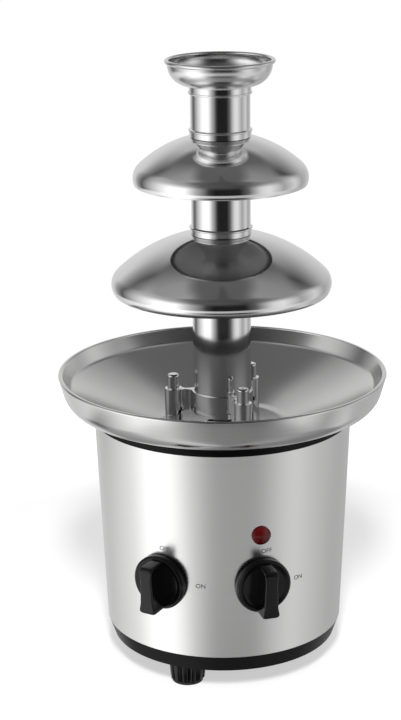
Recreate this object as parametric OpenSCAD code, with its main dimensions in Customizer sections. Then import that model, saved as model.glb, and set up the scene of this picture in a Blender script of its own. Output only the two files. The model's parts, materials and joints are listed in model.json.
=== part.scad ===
// Three-tier chocolate fountain. A heated basin stands on a motor base, and an auger inside a tower
// of slip-jointed tubes and domes lifts the chocolate to the bowl on top.
// Millimetres, +Z up, origin on the table under the tower's axis, front towards -Y.

/* [Feet] */
// Height of the base above the table
foot_h = 15.5; // [14:0.5:20]
// Width of a foot's grip across its lobes
foot_d = 25; // [22:0.5:28]
// Distance of a foot's middle from the shell's lower edge
foot_inset = 19; // [17:0.5:22]
// Direction of the first foot, counted from +X
foot_turn = 252; // [247:1:257]
// Diameter of the screw in a foot
foot_stud_d = 6; // [5:0.5:7]
// Lobes around a foot's grip
foot_lobes = 12; // [8:1:16]
// Thickness of the rubber pad under a foot
foot_pad_h = 1.6; // [1.2:0.1:2.4]

/* [Base tray] */
// Diameter of the black base at its underside
tray_d = 149.4; // [146:0.2:152]
// Height of the black base that shows below the shell
tray_h = 11; // [8:0.5:14]
// Thickness of the tray's floor
tray_floor = 3; // [2:0.5:4]
// Thickness of the tray's wall
tray_wall = 2.5; // [2:0.25:3.5]
// Height of the wall that stands inside the shell
tray_upstand = 10; // [6:0.5:12]
// Cooling slots in the tray's floor
vent_count = 14; // [8:1:18]
// Length of a cooling slot
vent_l = 20; // [14:1:22]
// Width of a cooling slot
vent_w = 4; // [3:0.5:5]

/* [Housing] */
// Diameter of the steel shell at its lower edge
shell_d_bottom = 157; // [155:0.5:160]
// Diameter of the steel shell at its upper edge
shell_d_top = 168.8; // [166:0.2:172]
// Height of the steel shell
shell_h = 138.9; // [135:0.1:145]
// Thickness of the shell's sheet
shell_wall = 0.8; // [0.6:0.1:1.2]
// Height of the black ring that shows above the shell
ring_h = 7.4; // [6:0.2:9]
// Diameter of the three rods that clamp the housing
rod_d = 4; // [3:0.5:5]

/* [Basin] */
// Diameter of the basin's rim
basin_d = 215.6; // [212:0.2:220]
// Height of the basin's outer skirt above its seat
skirt_h = 23.4; // [22:0.2:26]
// Share of the skirt's overhang that its round lower edge takes up
skirt_bend = 0.575; // [0.45:0.005:0.7]
// Depth of the basin at its flat centre
basin_depth = 36.9; // [35:0.1:39]
// Thickness of the basin's sheet
basin_wall = 0.8; // [0.6:0.1:1.2]
// Height of the wall between the rim and the dished floor
basin_wall_h = 9; // [7:0.5:11]

/* [Pins] */
// Distance of each tower pin from the axis
pin_circle_r = 32.4; // [31:0.2:33]
// Diameter of a tower pin
pin_d = 8; // [7:0.5:9]
// Diameter of a pin's shoulder and of the sleeve over it
sleeve_d = 11.6; // [11:0.2:12.6]
// Height of a pin's shoulder above the basin's floor
pin_shoulder_h = 6; // [5:0.5:8]
// Height of a pin above its shoulder
pin_h = 27.4; // [25:0.2:30]
// Radius of a pin's rounded tip
pin_tip_r = 1.6; // [1:0.1:2.5]
// Height of a sleeve
sleeve_h = 17.7; // [16:0.1:20]

/* [Tower] */
// Outer diameter of the tower's tubes
tube_d = 38; // [37:0.1:39]
// Thickness of the tubes' sheet
tube_wall = 0.6; // [0.5:0.05:0.8]
// Height of the lower tube's edge above the pins' shoulders
tube_lift = 3.7; // [3:0.1:6]
// Height from the lower tube's edge to the large dome's top
lower_tube_h = 119.2; // [110:0.2:130]
// Height from the large dome's top to the small dome's top
middle_tube_h = 62.8; // [56:0.2:70]
// Height from the small dome's top to the crown
top_tube_h = 32; // [28:0.5:40]
// Depth of a slip joint's collar
collar_h = 4; // [3.5:0.1:6]
// How far a tube's rolled bead stands out
bead_r = 0.7; // [0.5:0.05:1]
// Height of the strap that holds the sleeves to the lower tube
strap_h = 15; // [12:0.5:17]

/* [Domes] */
// Largest radius of the lower dome
large_dome_r = 71.3; // [68:0.1:75]
// Crown radius of the lower dome
large_crown_r = 98.8; // [94:0.2:106]
// Radius of the lower dome's rolled edge
large_edge_r = 9.4; // [8:0.1:11]
// How far the lower dome's edge turns down past its widest point
large_lip = 5.4; // [4:0.1:6.5]
// Largest radius of the upper dome
small_dome_r = 56.2; // [53:0.1:60]
// Crown radius of the upper dome
small_crown_r = 78; // [74:0.2:86]
// Radius of the upper dome's rolled edge
small_edge_r = 11; // [9:0.1:13]
// How far the upper dome's edge turns down past its widest point
small_lip = 3.8; // [3:0.1:5.5]
// Thickness of the domes' sheet
dome_wall = 0.8; // [0.6:0.1:1.2]

/* [Crown bowl] */
// Diameter of the crown's rim
crown_d = 70; // [66:0.5:76]
// Height of the crown bowl
crown_h = 17; // [15.5:0.5:20]
// Radius of the crown's rolled rim
crown_lip_r = 1.4; // [1:0.1:2]

/* [Auger] */
// Diameter of the auger's core
auger_core_d = 15; // [14:0.5:18]
// Gap between the auger's flight and the tube
auger_gap = 0.5; // [0.4:0.05:1]
// Rise of the flight in one turn
auger_pitch = 32; // [24:1:40]
// Thickness of the flight
auger_flight_t = 1.8; // [1.2:0.1:2.6]

/* [Drive] */
// Size of a gear tooth, pitch diameter over number of teeth
gear_module = 1.25; // [1.1:0.05:1.3]
// Teeth on the motor's pinion and on the idler's small gear
pinion_teeth = 10; // [9:1:11]
// Teeth on the idler's large gear and on the output gear
wheel_teeth = 40; // [38:1:42]
// Width of the gears' teeth
gear_w = 8; // [6:0.5:9]
// Diameter of the output shaft
shaft_d = 8; // [7:0.5:8]
// Width across the flats of the hexagon that drives the auger
hex_w = 10; // [9.5:0.1:10.5]
// Height of that hexagon
hex_h = 17; // [12:0.5:20]
// Diameter of the motor's case
motor_d = 54; // [46:1:56]
// Length of the motor's case
motor_h = 54; // [44:1:58]

/* [Controls] */
// Height of the two knobs above the table
knob_z = 77.3; // [74:0.1:82]
// Turn of each knob from the middle of the front
knob_turn = 23.4; // [21:0.2:26]
// Diameter of a knob's skirt
knob_d = 36.2; // [34:0.2:38]
// Thickness of a knob's skirt
knob_skirt_h = 4.6; // [4:0.2:6]
// Height of a knob's grip above its skirt
grip_h = 14.6; // [13:0.2:18]
// Width of the grip at its waist
grip_w = 7.4; // [6:0.2:9]
// Width of the grip at its lower end
grip_end_w = 12; // [10:0.5:13]
// Gap between a knob's skirt and the pilot lamp above it
lamp_gap = 9.7; // [8:0.1:13]
// Turn of the pilot lamp from the middle of the front
lamp_turn = 22.8; // [21:0.2:26]
// Diameter of the pilot lamp's lens
lamp_d = 12; // [10:0.5:14]
// Gap between the tray's upstand and the cord gland's nut
gland_gap = 3.6; // [2:0.2:10]
// Diameter of the gland's bore
gland_bore_d = 7.2; // [6:0.1:8]

/* [Fits] */
// Radial play of turning shafts, pins and slip joints
run_clear = 0.05; // [0.03:0.01:0.09]
// Gap between pieces that are fixed to each other
seat_clear = 0.1; // [0.05:0.01:0.15]
// Gap between faces that pass each other
pass_clear = 0.3; // [0.25:0.05:0.4]

/* [Hidden] */
$fn = 96;

// How far a cut runs past a face, and how far joined forms sink into each other
cut = 1;
bite = 0.1;

// Colours
steel = "silver";
satin_steel = "lightgray";
black_plastic = "dimgray";
gloss_black = "black";
brass = "goldenrod";
cast_metal = "darkgray";
white_plastic = "white";

// Heights of the stack, from the table to the crown's rim
z_tray = foot_h;
z_shell = z_tray + tray_h;
z_ring = z_shell + shell_h;
z_seat = z_ring + ring_h;
z_rim = z_seat + skirt_h;
z_floor = z_rim - basin_depth;
z_under = z_floor - basin_wall;
z_pin = z_floor + pin_shoulder_h;
z_tube = z_pin + tube_lift;
z_tier_1 = z_tube + lower_tube_h;
z_tier_2 = z_tier_1 + middle_tube_h;
z_crown = z_tier_2 + top_tube_h;

// The housing's cone
shell_lean = (shell_d_top - shell_d_bottom) / 2 / shell_h;
shell_tilt = atan(shell_lean);
function shell_r(z) = shell_d_bottom / 2 + (z - z_shell) * shell_lean;
function shell_in(z) = shell_r(z) - shell_wall / cos(shell_tilt);

// Three of a kind around the axis: pins, feet and rods
foot_circle_r = shell_d_bottom / 2 - foot_inset;
rod_inset = 7.7;
rod_circle_r = min(tray_d, shell_d_bottom) / 2 - rod_inset;
pin_angles = [60, 180, 300];
foot_angles = [foot_turn, foot_turn + 120, foot_turn + 240];
rod_angles = [30, 150, 270];

// The tray's bosses and slots
insert_d = foot_stud_d + 4;
insert_h = 14;
foot_boss_d = insert_d + 8;
rod_head_d = rod_d + 3.6;
rod_head_h = 3;
rod_sink = 0.5;
rod_boss_d = rod_head_d + 4;
rod_boss_h = 8;
rod_end = 1;
vent_in = 24;

// The black ring under the basin, with lugs for the rods and the motor bracket
ring_step = 1;
ring_out = shell_r(z_ring) - ring_step;
ring_spigot = 10;
ring_wall = 2.8;
ring_flange_t = 3.5;
ring_lip_w = 2;
spigot_r = shell_in(z_ring - ring_spigot) - seat_clear;
spigot_in = spigot_r - ring_wall;
spigot_mid = spigot_r - ring_wall / 2;
ring_flange_in = spigot_in - ring_lip_w;
lug_w = 12;
lug_t = 7;
z_lug = z_ring - ring_spigot;

// The basin's outline: the pan passes through the ring, and its floor is flat around the pins
rim_r = basin_d / 2;
rim_lip_w = 2.2;
rim_round = 1;
skirt_lean = 0.2778;
skirt_seat_gap = 2.5;
skirt_in = ring_flange_in + skirt_seat_gap;
skirt_corner_r = rim_r - skirt_lean * skirt_h;
skirt_round = skirt_bend * (skirt_corner_r - skirt_in) / tan((90 - atan(skirt_lean)) / 2);
floor_margin = 10.6;
basin_floor_r = pin_circle_r + floor_margin;
pan_edge_r = rim_r - (2 * skirt_lean + norm([1, skirt_lean])) * basin_wall - pass_clear;
pan_rim_w = 3.1;
pan_rim_r = rim_r - pan_rim_w;
pan_rim_z = z_rim - basin_wall;
pan_wall_lean = 0.51;
pan_corner = [pan_rim_r - pan_wall_lean * basin_wall_h, pan_rim_z - basin_wall_h];
pan_pass = [ring_flange_in - pass_clear, z_seat + basin_wall + pass_clear];
floor_edge = [basin_floor_r, z_floor];
dish_out = pan_corner - pan_pass;
dish_in = pan_pass - floor_edge;
dish_turn = atan2(dish_out[1], dish_out[0]) - atan2(dish_in[1], dish_in[0]);
dish_bend = 0.8;
dish_round = dish_bend * norm(dish_out) / tan(dish_turn / 2);
crease_round = 5;
floor_round = 20;
seal_r = 9;
seal_flange_r = seal_r + 2;

// The heater under the basin
plate_margin = 5;
plate_r = pin_circle_r + plate_margin;
plate_t = 6;
plate_hole_d = 24;
z_plate_under = z_under - plate_t;
element_r = 22;
element_d = 6.4;
element_sweep = 320;
sensor_h = 15;
stud_d = 6;
stud_end = 1.5;
nut_h = 5;
nut_w = 10;

// The gear motor, with the output gear on the tower's axis
gear_angle = 28;
gear_top = 0.8;
gear_root = 1.05;
gear_play = 0.12;
gear_gap = 1;
gear_c = gear_module * (pinion_teeth + wheel_teeth) / 2;
idler_at = [0, gear_c];
pinion_turn = 240;
pinion_at = idler_at + gear_c * [cos(pinion_turn), sin(pinion_turn)];
wheel_r = gear_module * (wheel_teeth / 2 + gear_top);
case_wall = 2.5;
case_room = 1.5;
case_half = wheel_r + case_room + case_wall;
case_floor = 4;
case_skin = 1;
case_lid = 3;
case_chamfer = 9;
ear_r = 5;
ear_h = 20;
ear_at = [case_half + ear_r - 1, 17];
screw_d = 3.4;
screw_grip = 12;
axle_d = 6;
rotor_d = 5;
rotor_grip = 12;
bush_out_d = shaft_d + 6;
bush_flange_d = bush_out_d + 5;
bush_flange_h = 4;
sensor_room = 3.5;
bracket_t = 2;
bracket_w = 48;
flange_w = 34;
bracket_boss_d = screw_d + 4.4;
bracket_screw_y = flange_w / 3;
bracket_screw_x = spigot_in - 9;
bracket_end_x = sqrt(pow(spigot_in, 2) - pow(flange_w / 2, 2)) - 2;
bracket_x = bracket_screw_x - 14;
bracket_boss_l = sqrt(pow(spigot_mid, 2) - pow(bracket_screw_y + bracket_boss_d / 2, 2)) - bracket_screw_x;
z_bracket = z_lug - bracket_t;
z_plate = z_plate_under - sensor_h - sensor_room - bracket_t;
z_lid = z_plate - case_lid;
gears_h = 2 * gear_w + 4 * gear_gap;
z_case = z_lid - gears_h - case_floor;
z_low_gear = z_case + case_floor + gear_gap;
z_high_gear = z_low_gear + gear_w + 2 * gear_gap;
hex_lift = 3;
z_hex = z_floor + hex_lift;
hex_end = 3;

// The auger on its hexagon
hex_play = 0.2;
z_auger = z_hex + 0.2;
z_auger_top = z_crown + 3;
auger_tip = 2;
flight_step = 15;

// The controls
switch_d = 6;
switch_w = 24;
switch_depth = 22;
switch_set = 4;
switch_reach = 14;
bush_d = 10;
bush_h = 3.2;
panel_nut_w = 13;
panel_nut_h = 2.4;
panel_cut = 4;
tab_t = 0.8;
tab_l = 7;
knob_gap = 0.8;
knob_taper = 0.8;
shaft_in_knob = 12;
grip_flare_r = 85;
grip_waist_y = 3;
grip_inset = 1.8;
grip_round = 2.5;
grip_sink = 1;
lamp_z = knob_z + knob_d / 2 + lamp_gap + lamp_d / 2;
lamp_stem_d = lamp_d - 3;
lamp_stem_h = 8;
lamp_edge_h = 1.2;
lamp_body_h = 14;
gland_stem_d = gland_bore_d + 5;
gland_stem_h = 10;
gland_flange_h = 2.4;
gland_cone_h = 6;
gland_nut_w = gland_stem_d + 5;
gland_nut_h = 4;
gland_nut_set = shell_wall + 1.6;
gland_z = z_shell + tray_upstand + gland_gap + gland_nut_w / 2 / cos(30);

// The feet
foot_gap = 0.2;
z_grip = foot_pad_h + foot_gap;
foot_grip_h = z_tray - pass_clear - z_grip;
foot_taper = 2.6;
foot_groove_d = 5;
foot_groove_out = 0.7;
foot_pin_d = 4;
foot_pin_h = 5;
foot_web = 1;

// The tower's radii and slip joints
tube_r = tube_d / 2;
bore_r = tube_r - tube_wall;
collar_in = tube_r + run_clear;
collar_out = collar_in + tube_wall;
collar_gap = 0.2;
spigot_gap = 0.3;
dome_hole_r = tube_r + seat_clear;
seat_bead_r = 1.2;
strap_t = 1;
neck_w = 3;
bowl_step = 0.4;

// Left-hand unit normal of a step from a to b
function side(a, b) = let (d = (b - a) / norm(b - a)) [-d[1], d[0]];
function unit(v) = v / norm(v);
function reversed(list) = [for (i = [len(list) - 1:-1:0]) list[i]];

// Point at angle a on a circle about c, and n steps of an arc from angle a0 to a1
function on_circle(c, r, a) = c + r * [cos(a), sin(a)];
function arc(c, r, a0, a1, n) = [for (i = [0:n]) on_circle(c, r, a0 + (a1 - a0) * i / n)];

// Arc of radius r that rounds the corner at q between p and s
function bend(p, q, s, r) = r <= 0 ? [q] :
    let (u = unit(p - q), v = unit(s - q), half = acos(u * v) / 2,
         c = q + unit(u + v) * r / sin(half),
         e0 = q + u * r / tan(half) - c, e1 = q + v * r / tan(half) - c,
         a0 = atan2(e0[1], e0[0]), turn = atan2(e0[0] * e1[1] - e0[1] * e1[0], e0 * e1))
    arc(c, r, a0, a0 + turn, max(3, round(abs(turn) / 9)));

// Path through corner points, each rounded by its radius
function path(pts, radii) = [for (i = [0:len(pts) - 1])
    each (i == 0 || i == len(pts) - 1) ? [pts[i]] : bend(pts[i - 1], pts[i], pts[i + 1], radii[i])];

// Corner points moved to the left by t
function shifted(pts, t) = [for (i = [0:len(pts) - 1])
    i == 0 ? pts[0] + side(pts[0], pts[1]) * t :
    i == len(pts) - 1 ? pts[i] + side(pts[i - 1], pts[i]) * t :
    let (n = side(pts[i - 1], pts[i]), m = unit(n + side(pts[i], pts[i + 1]))) pts[i] + m * t / (m * n)];

// Outline of a sheet of thickness t that lies to the left of a rounded path
function sheet(pts, radii, t) = concat(path(pts, radii), reversed(path(shifted(pts, t),
    [for (i = [0:len(pts) - 1]) (i == 0 || i == len(pts) - 1 || radii[i] == 0) ? 0 :
        let (a = pts[i] - pts[i - 1], b = pts[i + 1] - pts[i])
        radii[i] - t * sign(a[0] * b[1] - a[1] * b[0])])));

// One face of a dome's sheet: a spherical crown that runs into a rolled edge
function dome_face(r, crown_r, edge_r, lip, z_top, t) =
    let (span = sqrt(pow(crown_r - edge_r, 2) - pow(r - edge_r, 2)),
         z_edge = z_top - sqrt(pow(crown_r, 2) - pow(dome_hole_r, 2)) + span,
         a_hole = acos(dome_hole_r / (crown_r - t)), a_edge = atan2(span, r - edge_r))
    concat(arc([0, z_edge - span], crown_r - t, a_hole, a_edge, 14),
           arc([r - edge_r, z_edge], edge_r - t, a_edge, -asin(lip / edge_r), 8));

// Involute gear outline with a tooth centred on the direction `phase`
function roll(a) = tan(a) * 180 / PI - a;
function gear_points(n, phase) =
    let (r = gear_module * n / 2, base = r * cos(gear_angle), steps = 4,
         tip = r + gear_top * gear_module, root = r - gear_root * gear_module,
         half = 90 / n - gear_play / r * 90 / PI + roll(gear_angle), low = max(base, root))
    [for (i = [0:n - 1], s = [-1, 1])
        let (a = phase + 360 * i / n,
             flank = [for (k = [0:steps]) let (q = low + (tip - low) * k / steps)
                 [q, a + s * (half - roll(acos(min(1, base / q))))]],
             whole = concat(root < base ? [[root, a + s * half]] : [], flank))
        each [for (p = s < 0 ? whole : reversed(whole)) on_circle([0, 0], p[0], p[1])]];

// Round bar from z upwards, hole right through it, and a hexagon
module bar(d, z, h) {
    translate([0, 0, z]) cylinder(d = d, h = h);
}
module bore(d, z, h) {
    bar(d, z - cut, h + 2 * cut);
}
module hexagon(w, z, h) {
    translate([0, 0, z]) cylinder(d = w / cos(30), h = h, $fn = 6);
}

// Helpers that place and repeat
module ring_of(angles, r) {
    for (a = angles) rotate(a) translate([r, 0, 0]) children();
}
module on_shell(turn, z) {
    rotate(turn) translate([0, -shell_r(z), z]) rotate([90 + shell_tilt, 0, 0]) children();
}
module at_knobs() {
    for (s = [-1, 1]) on_shell(s * knob_turn, knob_z) children();
}
module at_ears() {
    for (x = [-1, 1], y = [-1, 1]) translate([x * ear_at[0], y * ear_at[1], 0]) children();
}
module at_bracket_screws() {
    for (a = [0, 180], y = [-1, 1]) rotate(a) translate([bracket_screw_x, y * bracket_screw_y, 0]) children();
}

// Base and housing
module base_tray() {
    z_top = z_shell + tray_upstand;
    low_r = shell_in(z_shell) - seat_clear;
    top_r = shell_in(z_top) - seat_clear;
    color(black_plastic) difference() {
        union() {
            rotate_extrude() polygon([
                [0, z_tray], [tray_d / 2, z_tray], [shell_r(z_shell), z_shell], [low_r, z_shell],
                [top_r, z_top], [top_r - tray_wall, z_top], [low_r - tray_wall, z_shell],
                [tray_d / 2 - tray_wall, z_tray + tray_floor], [0, z_tray + tray_floor]]);
            ring_of(foot_angles, foot_circle_r) bar(foot_boss_d, z_tray, insert_h);
            ring_of(rod_angles, rod_circle_r) bar(rod_boss_d, z_tray, rod_boss_h);
        }
        ring_of(foot_angles, foot_circle_r) bore(insert_d, z_tray, insert_h);
        ring_of(rod_angles, rod_circle_r) {
            bore(rod_d + 2 * seat_clear, z_tray, rod_boss_h);
            bar(rod_head_d + 2 * seat_clear, z_tray - cut, rod_sink + rod_head_h + cut);
        }
        ring_of([for (i = [0:vent_count - 1]) 360 * (i + 0.5) / vent_count], vent_in)
            translate([0, -vent_w / 2, z_tray - cut]) cube([vent_l, vent_w, tray_floor + 2 * cut]);
    }
}

module foot_inserts() {
    color(brass) ring_of(foot_angles, foot_circle_r) difference() {
        bar(insert_d, z_tray, insert_h);
        bore(foot_stud_d + 2 * run_clear, z_tray, insert_h);
    }
}

module tie_rods() {
    z_head = z_tray + rod_sink;
    color(steel) ring_of(rod_angles, rod_circle_r) {
        bar(rod_head_d, z_head, rod_head_h);
        bar(rod_d, z_head, z_lug + lug_t - rod_end - z_head);
    }
}

module panel_hole(d) {
    bar(d + 2 * seat_clear, -panel_cut, 2 * panel_cut);
}

module housing_shell() {
    color(satin_steel) difference() {
        rotate_extrude() polygon([[shell_in(z_shell), z_shell], [shell_r(z_shell), z_shell],
                                  [shell_r(z_ring), z_ring], [shell_in(z_ring), z_ring]]);
        at_knobs() panel_hole(bush_d);
        on_shell(lamp_turn, lamp_z) panel_hole(lamp_stem_d);
        on_shell(180, gland_z) panel_hole(gland_stem_d);
    }
}

module top_ring() {
    z_flange = z_seat - ring_flange_t;
    color(black_plastic) difference() {
        union() {
            rotate_extrude() polygon([
                [shell_r(z_ring), z_ring], [ring_out, z_seat], [ring_flange_in, z_seat],
                [ring_flange_in, z_flange], [spigot_in, z_flange], [spigot_in, z_lug], [spigot_r, z_lug],
                [shell_in(z_ring) - seat_clear, z_ring]]);
            ring_of(rod_angles, rod_circle_r) translate([-lug_w / 2, -lug_w / 2, z_lug])
                cube([spigot_mid - rod_circle_r + lug_w / 2, lug_w, lug_t]);
            at_bracket_screws() {
                bar(bracket_boss_d, z_lug, lug_t);
                translate([0, -bracket_boss_d / 2, z_lug]) cube([bracket_boss_l, bracket_boss_d, lug_t]);
            }
        }
        ring_of(rod_angles, rod_circle_r) bore(rod_d + 2 * seat_clear, z_lug, lug_t);
        at_bracket_screws() bore(screw_d + 2 * seat_clear, z_lug, lug_t);
    }
}

// Basin
module basin_skirt() {
    outline = [[skirt_in, z_seat], [skirt_corner_r, z_seat], [rim_r, z_rim], [rim_r - rim_lip_w, z_rim]];
    color(satin_steel) rotate_extrude() polygon(sheet(outline, [0, skirt_round, rim_round, 0], basin_wall));
}

module basin_pan() {
    outline = [[pan_edge_r, pan_rim_z], [pan_rim_r, pan_rim_z], pan_corner, pan_pass,
               floor_edge, [seal_r, z_floor]];
    color(satin_steel) difference() {
        rotate_extrude()
            polygon(sheet(outline, [0, 0, crease_round, dish_round, floor_round, 0], basin_wall));
        ring_of(pin_angles, pin_circle_r) bore(stud_d + 2 * seat_clear, z_under, basin_wall);
    }
}

module tower_pins() {
    z_end = z_plate_under - nut_h - stud_end;
    z_tip = z_pin + pin_h;
    outline = [[0, z_end], [stud_d / 2, z_end], [stud_d / 2, z_floor], [sleeve_d / 2, z_floor],
               [sleeve_d / 2, z_pin], [pin_d / 2, z_pin], [pin_d / 2, z_tip], [0, z_tip]];
    color(steel) ring_of(pin_angles, pin_circle_r) rotate_extrude($fn = 48)
        polygon(path(outline, [0, 0, 0, 0, 0, 0, pin_tip_r, 0]));
}

module pin_nuts() {
    color(steel) ring_of(pin_angles, pin_circle_r) difference() {
        hexagon(nut_w, z_plate_under - nut_h, nut_h);
        bore(stud_d, z_plate_under - nut_h, nut_h);
    }
}

// Heater under the basin
module heater_plate() {
    color(cast_metal) difference() {
        bar(2 * plate_r, z_plate_under, plate_t);
        bore(plate_hole_d, z_plate_under, plate_t);
        ring_of(pin_angles, pin_circle_r) bore(stud_d + 2 * seat_clear, z_plate_under, plate_t);
        translate([0, 0, z_plate_under]) rotate_extrude() translate([element_r, 0])
            circle(d = element_d + 2 * seat_clear);
    }
}

module heating_element() {
    lead_h = 14;
    lead_d = element_d + 0.6;
    lead_top = 0.4;
    color(steel) translate([0, 0, z_plate_under]) {
        rotate_extrude(angle = element_sweep) translate([element_r, 0]) circle(d = element_d);
        ring_of([0, element_sweep], element_r) bar(lead_d, -lead_h, lead_h - lead_top);
    }
}

module thermostat() {
    cup_d = 11.6;
    cup_h = 2;
    body_d = 10.6;
    body_h = 7;
    tab_w = 3.2;
    tab_y = 3.4;
    color(gloss_black) translate([pin_circle_r, 0, z_plate_under]) {
        bar(cup_d, -cup_h, cup_h);
        bar(body_d, -cup_h - body_h, body_h + bite);
        for (s = [-1, 1]) translate([-tab_t / 2, s * tab_y - tab_w / 2, -sensor_h])
            cube([tab_t, tab_w, sensor_h - cup_h - body_h + bite]);
    }
}

module thermal_fuse() {
    fuse_l = 12;
    fuse_d = 5;
    clip = [8, 10, 1.2];
    color(satin_steel) rotate(120) translate([pin_circle_r, 0, z_plate_under]) {
        translate([-clip[0] / 2, -clip[1] / 2, -clip[2]]) cube(clip);
        translate([0, -fuse_l / 2, -clip[2] / 2 - fuse_d / 2]) rotate([-90, 0, 0])
            cylinder(d = fuse_d, h = fuse_l);
    }
}

module shaft_seal() {
    lip_r = shaft_d / 2 + run_clear;
    neck_r = seal_r - seat_clear;
    low_h = 2;
    top_h = 2;
    color(gloss_black) rotate_extrude() polygon([
        [lip_r, z_under - low_h], [seal_flange_r, z_under - low_h], [seal_flange_r, z_under],
        [neck_r, z_under], [neck_r, z_floor], [seal_flange_r, z_floor],
        [seal_r + 1, z_floor + top_h / 2], [lip_r, z_floor + top_h]]);
}

// Motor bracket and gear motor
module motor_bracket() {
    wall_x = bracket_x - bracket_t;
    color(cast_metal) difference() {
        union() {
            translate([-bracket_x, -bracket_w / 2, z_plate]) cube([2 * bracket_x, bracket_w, bracket_t]);
            for (a = [0, 180]) rotate(a) translate([wall_x, -flange_w / 2, 0]) {
                translate([0, 0, z_plate]) cube([bracket_t, flange_w, z_lug - z_plate]);
                translate([0, 0, z_bracket]) cube([bracket_end_x - wall_x, flange_w, bracket_t]);
            }
        }
        bore(bush_flange_d + 2 * seat_clear, z_plate, bracket_t);
        at_ears() bore(screw_d + 2 * seat_clear, z_plate, bracket_t);
        at_bracket_screws() bore(screw_d + 2 * seat_clear, z_bracket, bracket_t);
    }
}

module pan_head(h) {
    head_h = 2.2;
    bar(screw_d, 0, h);
    bar(screw_d * 1.8, -head_h, head_h);
}

module bracket_screws() {
    color(steel) at_bracket_screws() translate([0, 0, z_bracket]) pan_head(bracket_t + lug_t - rod_end);
}

module case_outline(inset) {
    w = case_half - inset;
    c = case_chamfer;
    polygon([[-w, c - w], [c - w, -w], [w - c, -w], [w, c - w],
             [w, gear_c + w - c], [w - c, gear_c + w], [c - w, gear_c + w], [-w, gear_c + w - c]]);
}

module gearbox_case() {
    wall_h = z_lid - z_case;
    color(black_plastic) difference() {
        union() {
            translate([0, 0, z_case]) linear_extrude(wall_h) case_outline(0);
            at_ears() bar(2 * ear_r, z_lid - ear_h, ear_h);
        }
        translate([0, 0, z_case + case_floor]) linear_extrude(wall_h) case_outline(case_wall);
        at_ears() bar(screw_d + 2 * seat_clear, z_lid - screw_grip - cut, screw_grip + 2 * cut);
        bar(shaft_d + 2 * run_clear, z_case + case_skin, case_floor);
        translate(idler_at) bar(axle_d, z_case + case_skin, case_floor);
        translate(pinion_at) bore(rotor_d + 2, z_case, case_floor);
    }
}

module gearbox_cover() {
    color(black_plastic) difference() {
        union() {
            translate([0, 0, z_lid]) linear_extrude(case_lid) case_outline(0);
            at_ears() bar(2 * ear_r, z_lid, case_lid);
        }
        at_ears() bore(screw_d + 2 * seat_clear, z_lid, case_lid);
        bore(bush_out_d, z_lid, case_lid);
        translate(idler_at) bar(axle_d, z_lid - cut, case_lid - case_skin + cut);
    }
}

module gearbox_screws() {
    color(steel) at_ears() translate([0, 0, z_plate + bracket_t]) mirror([0, 0, 1])
        pan_head(bracket_t + case_lid + screw_grip);
}

module idler_axle() {
    z_end = z_case + case_skin;
    color(steel) translate(idler_at) bar(axle_d, z_end, z_lid + case_lid - case_skin - z_end);
}

module output_bush() {
    color(brass) difference() {
        union() {
            bar(bush_out_d, z_lid, case_lid);
            bar(bush_flange_d, z_lid + case_lid, bush_flange_h);
        }
        bore(shaft_d + 2 * run_clear, z_lid, case_lid + bush_flange_h);
    }
}

module motor_can() {
    band_t = 1.2;
    band_share = 0.4;
    z_can = z_case - motor_h;
    color(cast_metal) translate(pinion_at) difference() {
        union() {
            bar(motor_d, z_can, motor_h);
            bar(motor_d + 2 * band_t, z_can + motor_h * (1 - band_share) / 2, motor_h * band_share);
        }
        bar(rotor_d + 2 * run_clear, z_case - rotor_grip, rotor_grip + cut);
    }
}

module motor_end_cap() {
    cap_h = 7;
    cap_inset = 1.5;
    cap_slope = 3.5;
    hub_d = 14;
    hub_h = 4;
    brush_w = 6;
    brush_x = 15;
    cap_d = motor_d - 2 * cap_inset;
    color(black_plastic) translate([pinion_at[0], pinion_at[1], z_case - motor_h - cap_h]) {
        cylinder(d1 = cap_d - 2 * cap_slope, d2 = cap_d, h = cap_h);
        bar(hub_d, -hub_h, hub_h + bite);
        for (s = [-1, 1]) translate([s * brush_x - tab_t / 2, -brush_w / 2, -tab_l])
            cube([tab_t, brush_w, tab_l + bite]);
    }
}

// Controls on the panel
module switch_body() {
    blade_w = 6;
    z_back = -switch_set - switch_depth;
    difference() {
        union() {
            translate([-switch_w / 2, -switch_w / 2, z_back]) cube([switch_w, switch_w, switch_depth]);
            bar(bush_d, -switch_set - bite, switch_set + bush_h + bite);
            for (s = [-1, 1]) translate([s * blade_w - blade_w / 2, -tab_t / 2, z_back - tab_l])
                cube([blade_w, tab_t, tab_l + bite]);
        }
        bar(switch_d + 2 * run_clear, -switch_reach, switch_reach + bush_h + cut);
    }
}
module motor_switch() {
    color(black_plastic) on_shell(-knob_turn, knob_z) switch_body();
}
module heat_switch() {
    color(black_plastic) on_shell(knob_turn, knob_z) switch_body();
}

module switch_nuts() {
    color(steel) at_knobs() difference() {
        hexagon(panel_nut_w, 0, panel_nut_h);
        bore(bush_d + 2 * seat_clear, 0, panel_nut_h);
    }
}

module switch_shaft() {
    bar(switch_d, pass_clear - switch_reach, switch_reach + shaft_in_knob - pass_clear);
}
module motor_switch_shaft() {
    color(steel) on_shell(-knob_turn, knob_z) switch_shaft();
}
module heat_switch_shaft() {
    color(steel) on_shell(knob_turn, knob_z) switch_shaft();
}

// The grip seen from the front: narrowest above the middle, and widest at its lower end
module grip_front() {
    difference() {
        intersection() {
            circle(d = knob_d - 2 * grip_inset);
            square([grip_end_w, knob_d], center = true);
        }
        for (s = [-1, 1]) translate([s * (grip_w / 2 + grip_flare_r), grip_waist_y])
            circle(r = grip_flare_r, $fn = 360);
    }
}

// The grip seen from the side: a block with rounded ends
module grip_side() {
    half = knob_d / 2 - grip_inset;
    top = grip_sink + grip_h;
    polygon(path([[-half, 0], [-half, top], [half, top], [half, 0]], [0, grip_round, grip_round, 0]));
}

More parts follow.
